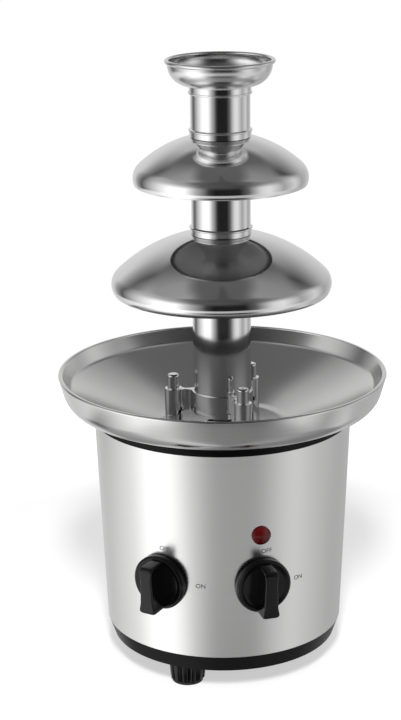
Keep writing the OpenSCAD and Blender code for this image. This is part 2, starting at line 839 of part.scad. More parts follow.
module knob() {
    hollow_d = panel_nut_w / cos(30) + 2;
    color(gloss_black) difference() {
        union() {
            translate([0, 0, knob_gap])
                cylinder(d1 = knob_d, d2 = knob_d - 2 * knob_taper, h = knob_skirt_h);
            translate([0, 0, knob_gap + knob_skirt_h - grip_sink]) intersection() {
                linear_extrude(grip_sink + grip_h) grip_front();
                rotate([90, 0, 90]) linear_extrude(grip_end_w + cut, center = true) grip_side();
            }
        }
        bar(hollow_d, 0, bush_h + pass_clear);
        bar(switch_d, 0, shaft_in_knob);
    }
}
module motor_knob() {
    on_shell(-knob_turn, knob_z) knob();
}
module heat_knob() {
    on_shell(knob_turn, knob_z) knob();
}

module lamp_lens() {
    color("firebrick") on_shell(lamp_turn, lamp_z) {
        bar(lamp_d, bite, lamp_edge_h);
        translate([0, 0, bite + lamp_edge_h]) cylinder(d1 = lamp_d, d2 = lamp_stem_d, h = lamp_edge_h);
        bar(lamp_stem_d, -lamp_stem_h, lamp_stem_h + lamp_edge_h);
    }
}
module lamp_body() {
    blade = [0.6, 2.8, 6];
    blade_x = 2.4;
    z_back = -lamp_stem_h - lamp_body_h;
    color(black_plastic) on_shell(lamp_turn, lamp_z) {
        bar(lamp_stem_d + 1, z_back, lamp_body_h);
        for (s = [-1, 1]) translate([s * blade_x - blade[0] / 2, -blade[1] / 2, z_back - blade[2]])
            cube(blade + [0, 0, bite]);
    }
}
module lamp_clip() {
    clip_t = 1.6;
    z_clip = -2 * clip_t;
    color(steel) on_shell(lamp_turn, lamp_z) difference() {
        bar(lamp_d + 3, z_clip, clip_t);
        bore(lamp_stem_d + 2 * seat_clear, z_clip, clip_t);
    }
}

module cord_gland() {
    color(black_plastic) on_shell(180, gland_z) difference() {
        union() {
            bar(gland_stem_d, -gland_stem_h, gland_stem_h + gland_flange_h);
            bar(gland_stem_d + 6, bite, gland_flange_h);
            translate([0, 0, gland_flange_h])
                cylinder(d1 = gland_stem_d + 2, d2 = gland_bore_d + 2.4, h = gland_cone_h);
        }
        bore(gland_bore_d, -gland_stem_h, gland_stem_h + gland_flange_h + gland_cone_h);
    }
}
module gland_nut() {
    z_nut = -gland_nut_set - gland_nut_h;
    color(black_plastic) on_shell(180, gland_z) difference() {
        hexagon(gland_nut_w, z_nut, gland_nut_h);
        bore(gland_stem_d + 2 * seat_clear, z_nut, gland_nut_h);
    }
}

module terminal_block() {
    ways = 3;
    way_w = 10;
    block_d = 14;
    block_h = 13;
    wire_d = 4.5;
    wire_z = 5;
    screw_hole_d = 4;
    screw_y = 3.5;
    block_at = [6, vent_in + vent_l - 3, z_tray + tray_floor];
    color("ivory") translate(block_at) difference() {
        cube([ways * way_w, block_d, block_h]);
        for (i = [0:ways - 1]) translate([(i + 0.5) * way_w, 0, wire_z]) {
            translate([0, -cut, 0]) rotate([-90, 0, 0]) cylinder(d = wire_d, h = block_d + 2 * cut);
            for (y = [screw_y, block_d - screw_y]) translate([0, y, 0])
                cylinder(d = screw_hole_d, h = block_h);
        }
    }
}

// Levelling feet
module foot(i) {
    color(gloss_black) rotate(foot_angles[i]) translate([foot_circle_r, 0, z_grip]) difference() {
        cylinder(d1 = foot_d - foot_taper, d2 = foot_d, h = foot_grip_h);
        ring_of([for (k = [0:foot_lobes - 1]) 360 * k / foot_lobes], foot_d / 2 + foot_groove_out)
            bore(foot_groove_d, 0, foot_grip_h);
        bar(foot_pin_d + 2 * run_clear, -cut, foot_pin_h + cut);
        bar(foot_stud_d, foot_pin_h + foot_web, foot_grip_h);
    }
}
module foot_stud(i) {
    z_end = z_grip + foot_pin_h + foot_web;
    color(steel) rotate(foot_angles[i]) translate([foot_circle_r, 0, 0])
        bar(foot_stud_d, z_end, z_tray + insert_h - z_end);
}
module foot_pad(i) {
    pad_d = foot_d - 5;
    color(black_plastic) rotate(foot_angles[i]) translate([foot_circle_r, 0, 0]) {
        bar(pad_d, 0, foot_pad_h);
        bar(foot_pin_d, 0, z_grip + foot_pin_h - pass_clear);
    }
}

// Drive train
module output_shaft() {
    z_end = z_case + case_skin + hex_play;
    color(steel) bar(shaft_d, z_end, z_hex + hex_h - hex_end - z_end);
}
module output_gear() {
    rim_t = 5;
    hub_d = shaft_d + 8;
    dip = 2;
    color(white_plastic) difference() {
        translate([0, 0, z_high_gear]) linear_extrude(gear_w) polygon(gear_points(wheel_teeth, 90));
        bore(shaft_d, z_high_gear, gear_w);
        difference() {
            bar(2 * (wheel_r - rim_t), z_high_gear + gear_w - dip, dip + cut);
            bore(hub_d, z_high_gear + gear_w - dip, dip + cut);
        }
    }
}
module drive_hex() {
    color(brass) difference() {
        hexagon(hex_w, z_hex, hex_h);
        bar(shaft_d, z_hex - cut, hex_h - hex_end + cut);
    }
}
module idler_gear() {
    z_pinion = z_low_gear + gear_w - bite;
    color(white_plastic) translate(idler_at) difference() {
        union() {
            translate([0, 0, z_low_gear]) linear_extrude(gear_w)
                polygon(gear_points(wheel_teeth, pinion_turn));
            translate([0, 0, z_pinion]) linear_extrude(z_high_gear + gear_w - z_pinion)
                polygon(gear_points(pinion_teeth, 270 + 180 / pinion_teeth));
        }
        bore(axle_d + 2 * run_clear, z_low_gear, gears_h);
    }
}
module rotor_pinion() {
    z_end = z_case - rotor_grip + pass_clear;
    color(brass) translate(pinion_at) {
        translate([0, 0, z_low_gear]) linear_extrude(gear_w)
            polygon(gear_points(pinion_teeth, pinion_turn + 180 + 180 / pinion_teeth));
        bar(rotor_d, z_end, z_low_gear + gear_w + gear_gap / 2 - z_end);
    }
}

// Auger
module auger_core() {
    z_tip = z_auger_top - auger_tip;
    tip_d = auger_core_d - 5;
    color(white_plastic) difference() {
        union() {
            bar(auger_core_d, z_auger, z_tip - z_auger);
            translate([0, 0, z_tip]) cylinder(d1 = auger_core_d, d2 = tip_d, h = auger_tip);
        }
        hexagon(hex_w + 2 * hex_play, z_auger - cut, z_hex + hex_h + bite - z_auger + cut);
    }
}

// The flight: a four-cornered section carried up a helix in steps
module auger_flight() {
    skin = 0.03;
    r_in = (auger_core_d / 2 + skin) / cos(flight_step / 2);
    r_out = bore_r - auger_gap;
    z0 = z_auger + 1;
    z1 = z_auger_top - 3 - auger_flight_t;
    count = floor((z1 - z0) / auger_pitch * 360 / flight_step);
    section = [[r_in, 0], [r_out, 0], [r_out, auger_flight_t], [r_in, auger_flight_t]];
    points = [for (i = [0:count], p = section) let (a = i * flight_step)
        [p[0] * cos(a), p[0] * sin(a), z0 + p[1] + auger_pitch * a / 360]];
    sides = [for (i = [0:count - 1], k = [0:3])
        let (a = 4 * i + k, b = 4 * i + (k + 1) % 4) each [[a, a + 4, b], [b, a + 4, b + 4]]];
    e = 4 * count;
    ends = [[0, 1, 2], [0, 2, 3], [e, e + 2, e + 1], [e, e + 3, e + 2]];
    color(white_plastic) polyhedron(points, concat(sides, ends));
}

// Tower
module tube_section(z0, z1) {
    translate([bore_r, z0]) square([tube_wall, z1 - z0]);
}
module socket_section(z0) {
    translate([collar_in, z0]) square([tube_wall, collar_h]);
    translate([bore_r, z0 + collar_h]) square([collar_out - bore_r, tube_wall]);
    translate([collar_out, z0 + collar_h]) circle(r = bead_r, $fn = 32);
}

// The bead on a tube that carries a dome from below
function seat_bead_z(z_top, crown_r) =
    z_top - sqrt(pow(crown_r, 2) - pow(dome_hole_r, 2)) + sqrt(pow(crown_r - dome_wall, 2) - pow(tube_r, 2))
    - (seat_bead_r + run_clear) / cos(asin(tube_r / crown_r));
module dome_seat(z_top, crown_r) {
    translate([tube_r, seat_bead_z(z_top, crown_r)]) intersection() {
        circle(r = seat_bead_r, $fn = 32);
        translate([-tube_wall / 2, -seat_bead_r]) square(2 * seat_bead_r);
    }
}

module lower_tube() {
    color(steel) rotate_extrude() {
        tube_section(z_tube, z_tier_1 + collar_gap + collar_h - spigot_gap);
        dome_seat(z_tier_1, large_crown_r);
    }
}

// The strap round the lower tube, joined to each sleeve by an hourglass neck
module tower_foot() {
    strap_r = tube_r + strap_t;
    sleeve_in = pin_circle_r - sleeve_d / 2;
    neck_r = (sleeve_in - strap_r) / 2 + 0.6;
    neck_at = (sleeve_in + strap_r) / 2;
    neck_side = neck_w / 2 + neck_r;
    z_strap = z_pin + sleeve_h - strap_h;
    color(steel) difference() {
        union() {
            bar(2 * strap_r, z_strap, strap_h);
            ring_of(pin_angles, pin_circle_r) bar(sleeve_d, z_pin, sleeve_h);
            for (a = pin_angles) rotate(a) difference() {
                translate([tube_r, -neck_side, z_strap])
                    cube([pin_circle_r - tube_r, 2 * neck_side, strap_h]);
                for (s = [-1, 1]) translate([neck_at, s * neck_side, 0]) bore(2 * neck_r, z_strap, strap_h);
            }
        }
        bore(tube_d, z_pin, sleeve_h);
        ring_of(pin_angles, pin_circle_r) bore(pin_d + 2 * run_clear, z_pin, sleeve_h);
    }
}

module dome(r, crown_r, edge_r, lip, z_top) {
    color(steel) rotate_extrude() polygon(concat(dome_face(r, crown_r, edge_r, lip, z_top, 0),
        reversed(dome_face(r, crown_r, edge_r, lip, z_top, dome_wall))));
}
module large_dome() {
    dome(large_dome_r, large_crown_r, large_edge_r, large_lip, z_tier_1);
}
module small_dome() {
    dome(small_dome_r, small_crown_r, small_edge_r, small_lip, z_tier_2);
}

module middle_tube() {
    z0 = z_tier_1 + collar_gap;
    color(steel) rotate_extrude() {
        socket_section(z0);
        tube_section(z0 + collar_h, z_tier_2 + collar_gap + collar_h - spigot_gap);
        dome_seat(z_tier_2, small_crown_r);
    }
}

module top_tube() {
    z0 = z_tier_2 + collar_gap;
    color(steel) rotate_extrude() {
        socket_section(z0);
        tube_section(z0 + collar_h, z_crown - collar_h);
        translate([0, z_crown]) mirror([0, 1]) socket_section(0);
    }
}

module crown_bowl() {
    lip_at = crown_d / 2 - crown_lip_r;
    bowl_r = lip_at - bowl_step;
    z_bowl = z_crown + bowl_step;
    z_lip = z_crown + crown_h - crown_lip_r;
    bowl_round = min(bowl_r - tube_r - bowl_step / 2, z_lip - z_bowl - bowl_step);
    z_end = z_crown - collar_h + spigot_gap;
    outline = [[tube_r, z_end], [tube_r, z_bowl], [bowl_r, z_bowl], [bowl_r, z_lip]];
    color(steel) rotate_extrude() {
        polygon(sheet(outline, [0, 0, bowl_round, 0], tube_wall));
        translate([lip_at, z_lip]) circle(r = crown_lip_r, $fn = 32);
    }
}

base_tray();
foot_inserts();
tie_rods();
housing_shell();
top_ring();
basin_skirt();
basin_pan();
tower_pins();
pin_nuts();
heater_plate();
heating_element();
thermostat();
thermal_fuse();
shaft_seal();
motor_bracket();
bracket_screws();
gearbox_case();
gearbox_cover();
gearbox_screws();
idler_axle();
output_bush();
motor_can();
motor_end_cap();
motor_switch();
heat_switch();
switch_nuts();
lamp_lens();
lamp_body();
lamp_clip();
cord_gland();
gland_nut();
terminal_block();
motor_knob();
motor_switch_shaft();
heat_knob();
heat_switch_shaft();
foot(0);  // foot_1
foot(1);  // foot_2
foot(2);  // foot_3
foot_stud(0);  // foot_stud_1
foot_stud(1);  // foot_stud_2
foot_stud(2);  // foot_stud_3
foot_pad(0);  // foot_pad_1
foot_pad(1);  // foot_pad_2
foot_pad(2);  // foot_pad_3
output_shaft();
output_gear();
drive_hex();
idler_gear();
rotor_pinion();
auger_core();
auger_flight();
lower_tube();
tower_foot();
large_dome();
middle_tube();
small_dome();
top_tube();
crown_bowl();
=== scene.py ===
"""Looks of a three-tier chocolate fountain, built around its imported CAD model.

Lengths are metres, +Z is up, the origin lies on the table under the tower's axis, and -Y is the front.
"""

import json
import logging
import math
from dataclasses import dataclass
from enum import Enum

import bpy
import numpy as np
from bpy.types import ID, Material, Node, NodeSocket, NodeTree, Object
from mathutils import Matrix, Vector


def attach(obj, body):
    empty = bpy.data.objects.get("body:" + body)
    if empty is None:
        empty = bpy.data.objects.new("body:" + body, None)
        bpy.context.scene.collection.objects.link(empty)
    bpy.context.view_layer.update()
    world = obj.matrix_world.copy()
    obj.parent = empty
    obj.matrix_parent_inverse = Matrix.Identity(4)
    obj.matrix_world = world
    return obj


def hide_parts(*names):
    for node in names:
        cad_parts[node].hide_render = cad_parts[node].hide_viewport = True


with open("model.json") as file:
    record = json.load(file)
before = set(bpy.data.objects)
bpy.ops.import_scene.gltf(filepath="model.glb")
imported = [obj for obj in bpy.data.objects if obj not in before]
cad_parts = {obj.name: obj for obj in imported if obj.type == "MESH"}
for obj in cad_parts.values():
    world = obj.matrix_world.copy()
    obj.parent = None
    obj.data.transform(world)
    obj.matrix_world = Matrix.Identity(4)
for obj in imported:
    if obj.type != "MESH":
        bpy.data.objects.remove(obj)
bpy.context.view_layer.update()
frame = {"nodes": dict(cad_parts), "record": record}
LOG = logging.getLogger("fountain")
MM = 0.001
WHITE = (1.0, 1.0, 1.0, 1.0)
Array = np.ndarray
Pair = tuple[float, float]
Triple = tuple[float, float, float]
Values = dict[str, float | tuple[float, ...]]
Surface = tuple[Array, list[list[int]]]
Pairs = tuple[Pair, ...]

# Degrees that the camera stands to the right of the panel's middle
PANEL_TURN = 5.9

# Steps of a full turn on large sheets, on knobs and lens, and on pins and sleeves
SEGMENTS = 240
FINE_SEGMENTS = 96
PIN_SEGMENTS = 48

# Edges that bend by more degrees than this stay sharp
SHARP_EDGE = 32.0

# Noise behind brushed grain, and behind the texture of moulded plastic
GRAIN_DETAIL = 3.0
NOISE_LOW = 0.3
NOISE_HIGH = 0.7
MOULD_LINES = 1400.0
MOULD_DEPTH = 0.05 * MM


class Axis(Enum):
    """Directions that a brushed grain can follow."""

    AROUND = "around the tower's axis"
    ALONG = "up the piece"


@dataclass(frozen=True)
class MetalFinish:
    """A metal surface, plain or with a fine grain.

    Args:
        name: Name of the material.
        colour: Reflected colour, linear.
        roughness: Mean roughness.
        grain: Change of roughness between grain lines.
        lines: Grain lines per metre.
        axis: Direction that the grain follows.
    """

    name: str
    colour: Triple
    roughness: float
    grain: float = 0.0
    lines: float = 900.0
    axis: Axis = Axis.AROUND

    def build(self) -> Material:
        """Makes the material.

        Returns:
            The new material.
        """
        material, shader = new_material(self.name, {
            "Base Color": (*self.colour, 1.0), "Metallic": 1.0, "Roughness": self.roughness})
        if self.grain > 0.0:
            self._add_grain(material.node_tree, shader)
        return material

    def _add_grain(self, tree: NodeTree, shader: Node) -> None:
        """Lets the roughness follow noise that stays the same along the grain.

        Noise of (distance from the axis, height) runs round the axis, and noise of (x, y) runs upright.

        Args:
            tree: The material's node tree.
            shader: Its Principled shader node.
        """
        link = tree.links.new
        place = add_node(tree, "TexCoord")
        flat = add_node(tree, "VectorMath", "MULTIPLY")
        flat.inputs[1].default_value = (1.0, 1.0, 0.0)
        noise = add_node(tree, "TexNoise", values={"Scale": self.lines, "Detail": GRAIN_DETAIL})
        spread = add_node(tree, "MapRange", values={
            "From Min": NOISE_LOW, "From Max": NOISE_HIGH,
            "To Min": self.roughness - self.grain, "To Max": self.roughness + self.grain})
        link(place.outputs["Object"], flat.inputs[0])
        across = flat.outputs["Vector"]
        if self.axis is Axis.AROUND:
            reach = add_node(tree, "VectorMath", "LENGTH")
            split = add_node(tree, "SeparateXYZ")
            joined = add_node(tree, "CombineXYZ")
            link(across, reach.inputs[0])
            link(place.outputs["Object"], split.inputs["Vector"])
            link(reach.outputs["Value"], joined.inputs["X"])
            link(split.outputs["Z"], joined.inputs["Y"])
            across = joined.outputs["Vector"]
        link(across, noise.inputs["Vector"])
        link(noise.outputs["Fac"], spread.inputs["Value"])
        link(spread.outputs["Result"], shader.inputs["Roughness"])


@dataclass(frozen=True)
class PlasticFinish:
    """A moulded plastic or rubber surface.

    Args:
        name: Name of the material.
        colour: Body colour, linear.
        roughness: Mean roughness.
        grain: Strength of the mould's fine texture.
        coat: Weight of a clear gloss over the body colour.
        shine: Strength of the reflection, 0.5 for plain plastic.
    """

    name: str
    colour: Triple
    roughness: float
    grain: float = 0.0
    coat: float = 0.0
    shine: float = 0.5

    def build(self) -> Material:
        """Makes the material: a plain body colour with a fine moulded grain.

        Returns:
            The new material.
        """
        material, shader = new_material(self.name, {
            "Base Color": (*self.colour, 1.0), "Roughness": self.roughness,
            "Coat Weight": self.coat, "Specular IOR Level": self.shine})
        if self.grain > 0.0:
            tree = material.node_tree
            place = add_node(tree, "TexCoord")
            noise = add_node(tree, "TexNoise", values={"Scale": MOULD_LINES})
            bump = add_node(tree, "Bump", values={"Strength": self.grain, "Distance": MOULD_DEPTH})
            tree.links.new(place.outputs["Object"], noise.inputs["Vector"])
            tree.links.new(noise.outputs["Fac"], bump.inputs["Height"])
            tree.links.new(bump.outputs["Normal"], shader.inputs["Normal"])
        return material


def set_values(node: Node, values: Values) -> None:
    """Sets inputs of a node, by their names."""
    for name, value in values.items():
        node.inputs[name].default_value = value


def new_material(name: str, values: Values) -> tuple[Material, Node]:
    """Makes a node material.

    Args:
        name: Name of the material.
        values: Inputs of its shader.

    Returns:
        The material and its Principled shader node.
    """
    material = bpy.data.materials.new(name)
    material.use_nodes = True
    shader = material.node_tree.nodes["Principled BSDF"]
    set_values(shader, values)
    return material, shader


def add_node(tree: NodeTree, kind: str, operation: str = "", values: Values | None = None) -> Node:
    """Adds a shader node.

    Args:
        tree: The node tree.
        kind: The node's type without its prefix.
        operation: What a node of mathematics does.
        values: Its inputs.

    Returns:
        The new node.
    """
    node = tree.nodes.new("ShaderNode" + kind)
    if operation:
        node.operation = operation
    set_values(node, values or {})
    return node


FINISHES: dict[str, MetalFinish | PlasticFinish] = {finish.name: finish for finish in (
    MetalFinish("polished_steel", (0.86, 0.86, 0.86), 0.09),
    MetalFinish("crown_steel", (0.8, 0.8, 0.8), 0.2),
    # A darker, rougher copy of polished steel: painted shade on the domes' undersides
    MetalFinish("dull_steel", (0.3, 0.3, 0.3), 0.4),
    MetalFinish("basin_steel", (0.78, 0.78, 0.775), 0.15, grain=0.03, lines=1200.0),
    MetalFinish("pan_steel", (0.82, 0.82, 0.815), 0.2),
    MetalFinish("satin_steel", (0.72, 0.72, 0.715), 0.27),
    MetalFinish("shell_steel", (0.78, 0.78, 0.775), 0.25, grain=0.012, lines=1600.0),
    MetalFinish("steel", (0.62, 0.62, 0.62), 0.25),
    MetalFinish("brass", (0.72, 0.55, 0.25), 0.28),
    MetalFinish("aluminium", (0.68, 0.68, 0.69), 0.42, grain=0.05, axis=Axis.ALONG),
    PlasticFinish("black_plastic", (0.005, 0.005, 0.005), 0.34, grain=0.03, shine=0.16),
    PlasticFinish("gloss_black", (0.002, 0.002, 0.002), 0.16, shine=0.3),
    PlasticFinish("rubber", (0.02, 0.02, 0.02), 0.7, grain=0.1),
    PlasticFinish("white_plastic", (0.36, 0.357, 0.345), 0.4, grain=0.03, shine=0.3),
    PlasticFinish("lamp_red", (0.055, 0.002, 0.002), 0.22, coat=0.2, shine=0.25),
    PlasticFinish("print_black", (0.02, 0.02, 0.02), 0.5),
)}


class Paint:
    """Builds each finish once and puts it on pieces."""

    def __init__(self) -> None:
        """Starts with no material built."""
        self._built: dict[str, Material] = {}

    def material(self, finish: str) -> Material:
        """Builds a finish's material on its first use.

        Args:
            finish: A key of FINISHES.

        Returns:
            The material.
        """
        if finish not in self._built:
            self._built[finish] = FINISHES[finish].build()
        return self._built[finish]

    def on(self, piece: Object, finish: str) -> None:
        """Gives a piece one finish."""
        piece.data.materials.clear()
        piece.data.materials.append(self.material(finish))

    def inside(self, piece: Object, finish: str) -> None:
        """Gives the faces that look towards the tower's axis a second material; it paints shade on the
        domes' undersides.

        Args:
            piece: The mesh object, which has its first finish.
            finish: A key of FINISHES.
        """
        faces = piece.data.polygons
        normals, centres = np.zeros(len(faces) * 3), np.zeros(len(faces) * 3)
        faces.foreach_get("normal", normals)
        faces.foreach_get("center", centres)
        outward = normals[0::3] * centres[0::3] + normals[1::3] * centres[1::3]
        piece.data.materials.append(self.material(finish))
        faces.foreach_set("material_index", (outward < 0.0).astype(np.int32))


PAINT = Paint()


def arc(centre: Pair, radius: float, start: float, end: float, count: int) -> Array:
    """Points of a circle's arc: centre + radius (cos a, sin a) for a from start to end in degrees."""
    angle = np.radians(np.linspace(start, end, count))
    return np.array(centre) + radius * np.stack([np.cos(angle), np.sin(angle)], 1)


def rounded(corners: list[Pair], radii: list[float], count: int = 10) -> Array:
    """A polyline whose inner corners are replaced by tangent arcs.

    Args:
        corners: The corner points.
        radii: A radius for each corner; the two ends and zeros stay sharp.
        count: Points on each arc.

    Returns:
        An array of points along the path.
    """
    points = np.array(corners, float)
    path = [points[:1]]
    for before, corner, after, radius in zip(points, points[1:], points[2:], radii[1:]):
        if radius <= 0.0:
            path.append(corner[None])
            continue
        inward = (before - corner) / np.linalg.norm(before - corner)
        onward = (after - corner) / np.linalg.norm(after - corner)
        half = 0.5 * math.acos(float(np.clip(inward @ onward, -1.0, 1.0)))
        middle = corner + (inward + onward) / np.linalg.norm(inward + onward) * radius / math.sin(half)
        first = corner + inward * radius / math.tan(half) - middle
        last = corner + onward * radius / math.tan(half) - middle
        turn = math.atan2(first[0] * last[1] - first[1] * last[0], float(first @ last))
        begin = math.atan2(first[1], first[0])
        path.append(arc(tuple(middle), radius, math.degrees(begin), math.degrees(begin + turn), count))
    path.append(points[-1:])
    return np.concatenate(path)


def offset(path: Array, distance: float) -> Array:
    """A path moved to its left by a distance, with mitred corners.

    Args:
        path: Points of an open path.
        distance: How far to move.

    Returns:
        The moved points.
    """
    step = np.diff(path, axis=0)
    step /= np.linalg.norm(step, axis=1, keepdims=True)
    normal = np.stack([-step[:, 1], step[:, 0]], 1)
    before = np.vstack([normal[:1], normal])
    after = np.vstack([normal, normal[-1:]])
    mitre = before + after
    mitre /= np.linalg.norm(mitre, axis=1, keepdims=True)
    return path + mitre * distance / np.sum(mitre * before, axis=1, keepdims=True)


def sheet(path: Array, thickness: float) -> Array:
    """Closed outline of a sheet that lies to the left of a path."""
    return np.concatenate([path, offset(path, thickness)[::-1]])


def new_object(name: str, data: ID) -> Object:
    """Makes an object and links it to the scene.

    Args:
        name: Name of the object.
        data: Its mesh, curve, camera or light.

    Returns:
        The new object.
    """
    made = bpy.data.objects.new(name, data)
    bpy.context.scene.collection.objects.link(made)
    return made


def mesh_piece(name: str, points: Array, faces: list[list[int]]) -> Object:
    """Makes a smooth-shaded mesh object at the origin.

    Args:
        name: Name of the object.
        points: Vertices, shape (n, 3).
        faces: Vertex numbers of each face.

    Returns:
        The new object, linked to the scene.
    """
    mesh = bpy.data.meshes.new(name)
    mesh.from_pydata(points.tolist(), [], faces)
    mesh.polygons.foreach_set("use_smooth", np.ones(len(mesh.polygons), bool))
    mesh.set_sharp_from_angle(angle=math.radians(SHARP_EDGE))
    mesh.update()
    return new_object(name, mesh)


def grid_faces(rows: int, columns: int, close_rows: bool) -> Array:
    """Quads of a grid of points, row by row, whose last column joins the first one.

    Args:
        rows: Number of rows.
        columns: Number of columns.
        close_rows: Whether the last row joins the first one.

    Returns:
        Vertex numbers, shape (quads, 4).
    """
    row = np.arange(rows if close_rows else rows - 1)[:, None]
    column = np.arange(columns)[None, :]
    next_row = (row + 1) % rows
    next_column = (column + 1) % columns
    corners = [row * columns + column, row * columns + next_column,
               next_row * columns + next_column, next_row * columns + column]
    return np.stack([np.broadcast_to(c, (row.size, column.size)) for c in corners], -1).reshape(-1, 4)


def lathe_grid(outline: Array, segments: int) -> Array:
    """Points of a revolved outline: (r cos t, r sin t, z) for each outline point (r, z) and turn t.

    Args:
        outline: Points (r, z).
        segments: Steps of the turn.

    Returns:
        An array of shape (len(outline) * segments, 3), one row per outline point.
    """
    turn = np.linspace(0.0, 2.0 * math.pi, segments, endpoint=False)[None, :]
    radius, height = outline[:, :1], outline[:, 1:]
    flat = np.ones_like(turn)
    return np.stack([radius * np.cos(turn), radius * np.sin(turn), height * flat], -1).reshape(-1, 3)


def lathe(outline: Array, segments: int) -> Surface:
    """A closed outline revolved about Z into a closed ring-shaped surface.

    Args:
        outline: Points (r, z) of a closed loop off the axis.
        segments: Steps of the turn.

    Returns:
        Vertices and faces that point outwards.
    """
    following = np.roll(outline, -1, axis=0)
    anticlockwise = np.sum(outline[:, 0] * following[:, 1] - outline[:, 1] * following[:, 0]) > 0.0
    loop = outline if anticlockwise else outline[::-1]
    return lathe_grid(loop, segments), grid_faces(len(loop), segments, True).tolist()


def capped(rows: Array, bottom: Triple, top: Triple) -> Surface:
    """A stack of closed rings, joined by quads and closed by a pole at each end.

    Args:
        rows: Rings of points, shape (rings, points, 3), anticlockwise as seen from the last ring.
        bottom: The pole before the first ring.
        top: The pole after the last ring.

    Returns:
        Vertices and faces that point outwards.
    """
    rings, count = rows.shape[:2]
    around = np.arange(count)
    following = (around + 1) % count
    pole = np.full(count, rings * count)
    last = (rings - 1) * count
    faces = grid_faces(rings, count, False).tolist()
    faces += np.stack([pole, following, around], 1).tolist()
    faces += np.stack([pole + 1, last + around, last + following], 1).tolist()
    return np.vstack([rows.reshape(-1, 3), bottom, top]), faces


def lathe_solid(outline: Array, segments: int) -> Surface:
    """An outline from axis to axis, with the body to its left, revolved about Z and closed by poles."""
    rows = lathe_grid(outline[1:-1], segments).reshape(len(outline) - 2, segments, 3)
    return capped(rows, (0.0, 0.0, outline[0, 1]), (0.0, 0.0, outline[-1, 1]))


def placed(points: Array, place: Matrix) -> Array:
    """Points carried from a local frame into the fountain's frame."""
    matrix = np.array(place)
    return points @ matrix[:3, :3].T + matrix[:3, 3]


def merged(parts: list[Surface]) -> Surface:
    """Several surfaces as one list of vertices and faces.

    Args:
        parts: Vertices and faces of each surface.

    Returns:
        All vertices and the renumbered faces.
    """
    counts = np.cumsum([0] + [len(points) for points, _ in parts])
    faces = [[v + int(start) for v in face]
             for (_, group), start in zip(parts, counts) for face in group]
    return np.vstack([points for points, _ in parts]), faces


def turned(points: Array, degrees: float, reach: float = 0.0) -> Array:
    """Points moved out along X and then turned about Z.

    Args:
        points: Vertices, shape (n, 3).
        degrees: Turn about Z.
        reach: Move along X.

    Returns:
        The moved points.
    """
    turn = math.radians(degrees)
    c, s = math.cos(turn), math.sin(turn)
    return (points + np.array([reach, 0.0, 0.0])) @ np.array([[c, s, 0.0], [-s, c, 0.0], [0.0, 0.0, 1.0]])


def spin(degrees: float, axis: str) -> Matrix:
    """Turn about one of the axes X, Y and Z."""
    return Matrix.Rotation(math.radians(degrees), 4, axis)


def dress(piece: Object, body: str, slot: str, finish: str, *nodes: str) -> Object:
    """Hangs a piece on its body, gives it its finish and hides the solids that it stands for.

    Args:
        piece: The mesh object.
        body: The body that it rides on.
        slot: The record's material slot; not used.
        finish: A key of FINISHES.
        nodes: Solids that the piece replaces.

    Returns:
        The same object.
    """
    PAINT.on(piece, finish)
    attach(piece, body)
    if nodes:
        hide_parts(*nodes)
    LOG.info("%s rides on %s", piece.name, body)
    return piece


@dataclass
class Housing:
    """The conical steel shell between the black tray and the black ring."""

    bottom_r: float = 78.5 * MM
    top_r: float = 84.4 * MM
    bottom_z: float = 26.5 * MM
    height: float = 138.9 * MM
    wall: float = 0.8 * MM

    @property
    def lean(self) -> float:
        """Growth of the radius per metre of height."""
        return (self.top_r - self.bottom_r) / self.height

    @property
    def tilt(self) -> float:
        """Angle between the shell and the vertical, in radians."""
        return math.atan(self.lean)

    def radius(self, z: float | Array) -> float | Array:
        """Outer radius at a height, or at each of several."""
        return self.bottom_r + (z - self.bottom_z) * self.lean

    def frame_at(self, azimuth: float, z: float) -> Matrix:
        """Frame on the shell's face, turned to the right by degrees: X right, Y up the face, Z out."""
        place = Matrix.Translation((0.0, -self.radius(z), z))
        return spin(azimuth, "Z") @ place @ spin(90.0 + math.degrees(self.tilt), "X")

    def build(self) -> None:
        """Makes the shell: a straight sheet revolved about the axis."""
        inner = self.wall / math.cos(self.tilt)
        top_z = self.bottom_z + self.height
        outline = np.array([(self.bottom_r - inner, self.bottom_z), (self.bottom_r, self.bottom_z),
                            (self.top_r, top_z), (self.top_r - inner, top_z)])
        dress(mesh_piece("steel_shell", *lathe(outline, SEGMENTS)), "base", "satin_steel", "shell_steel",
              "housing_shell")


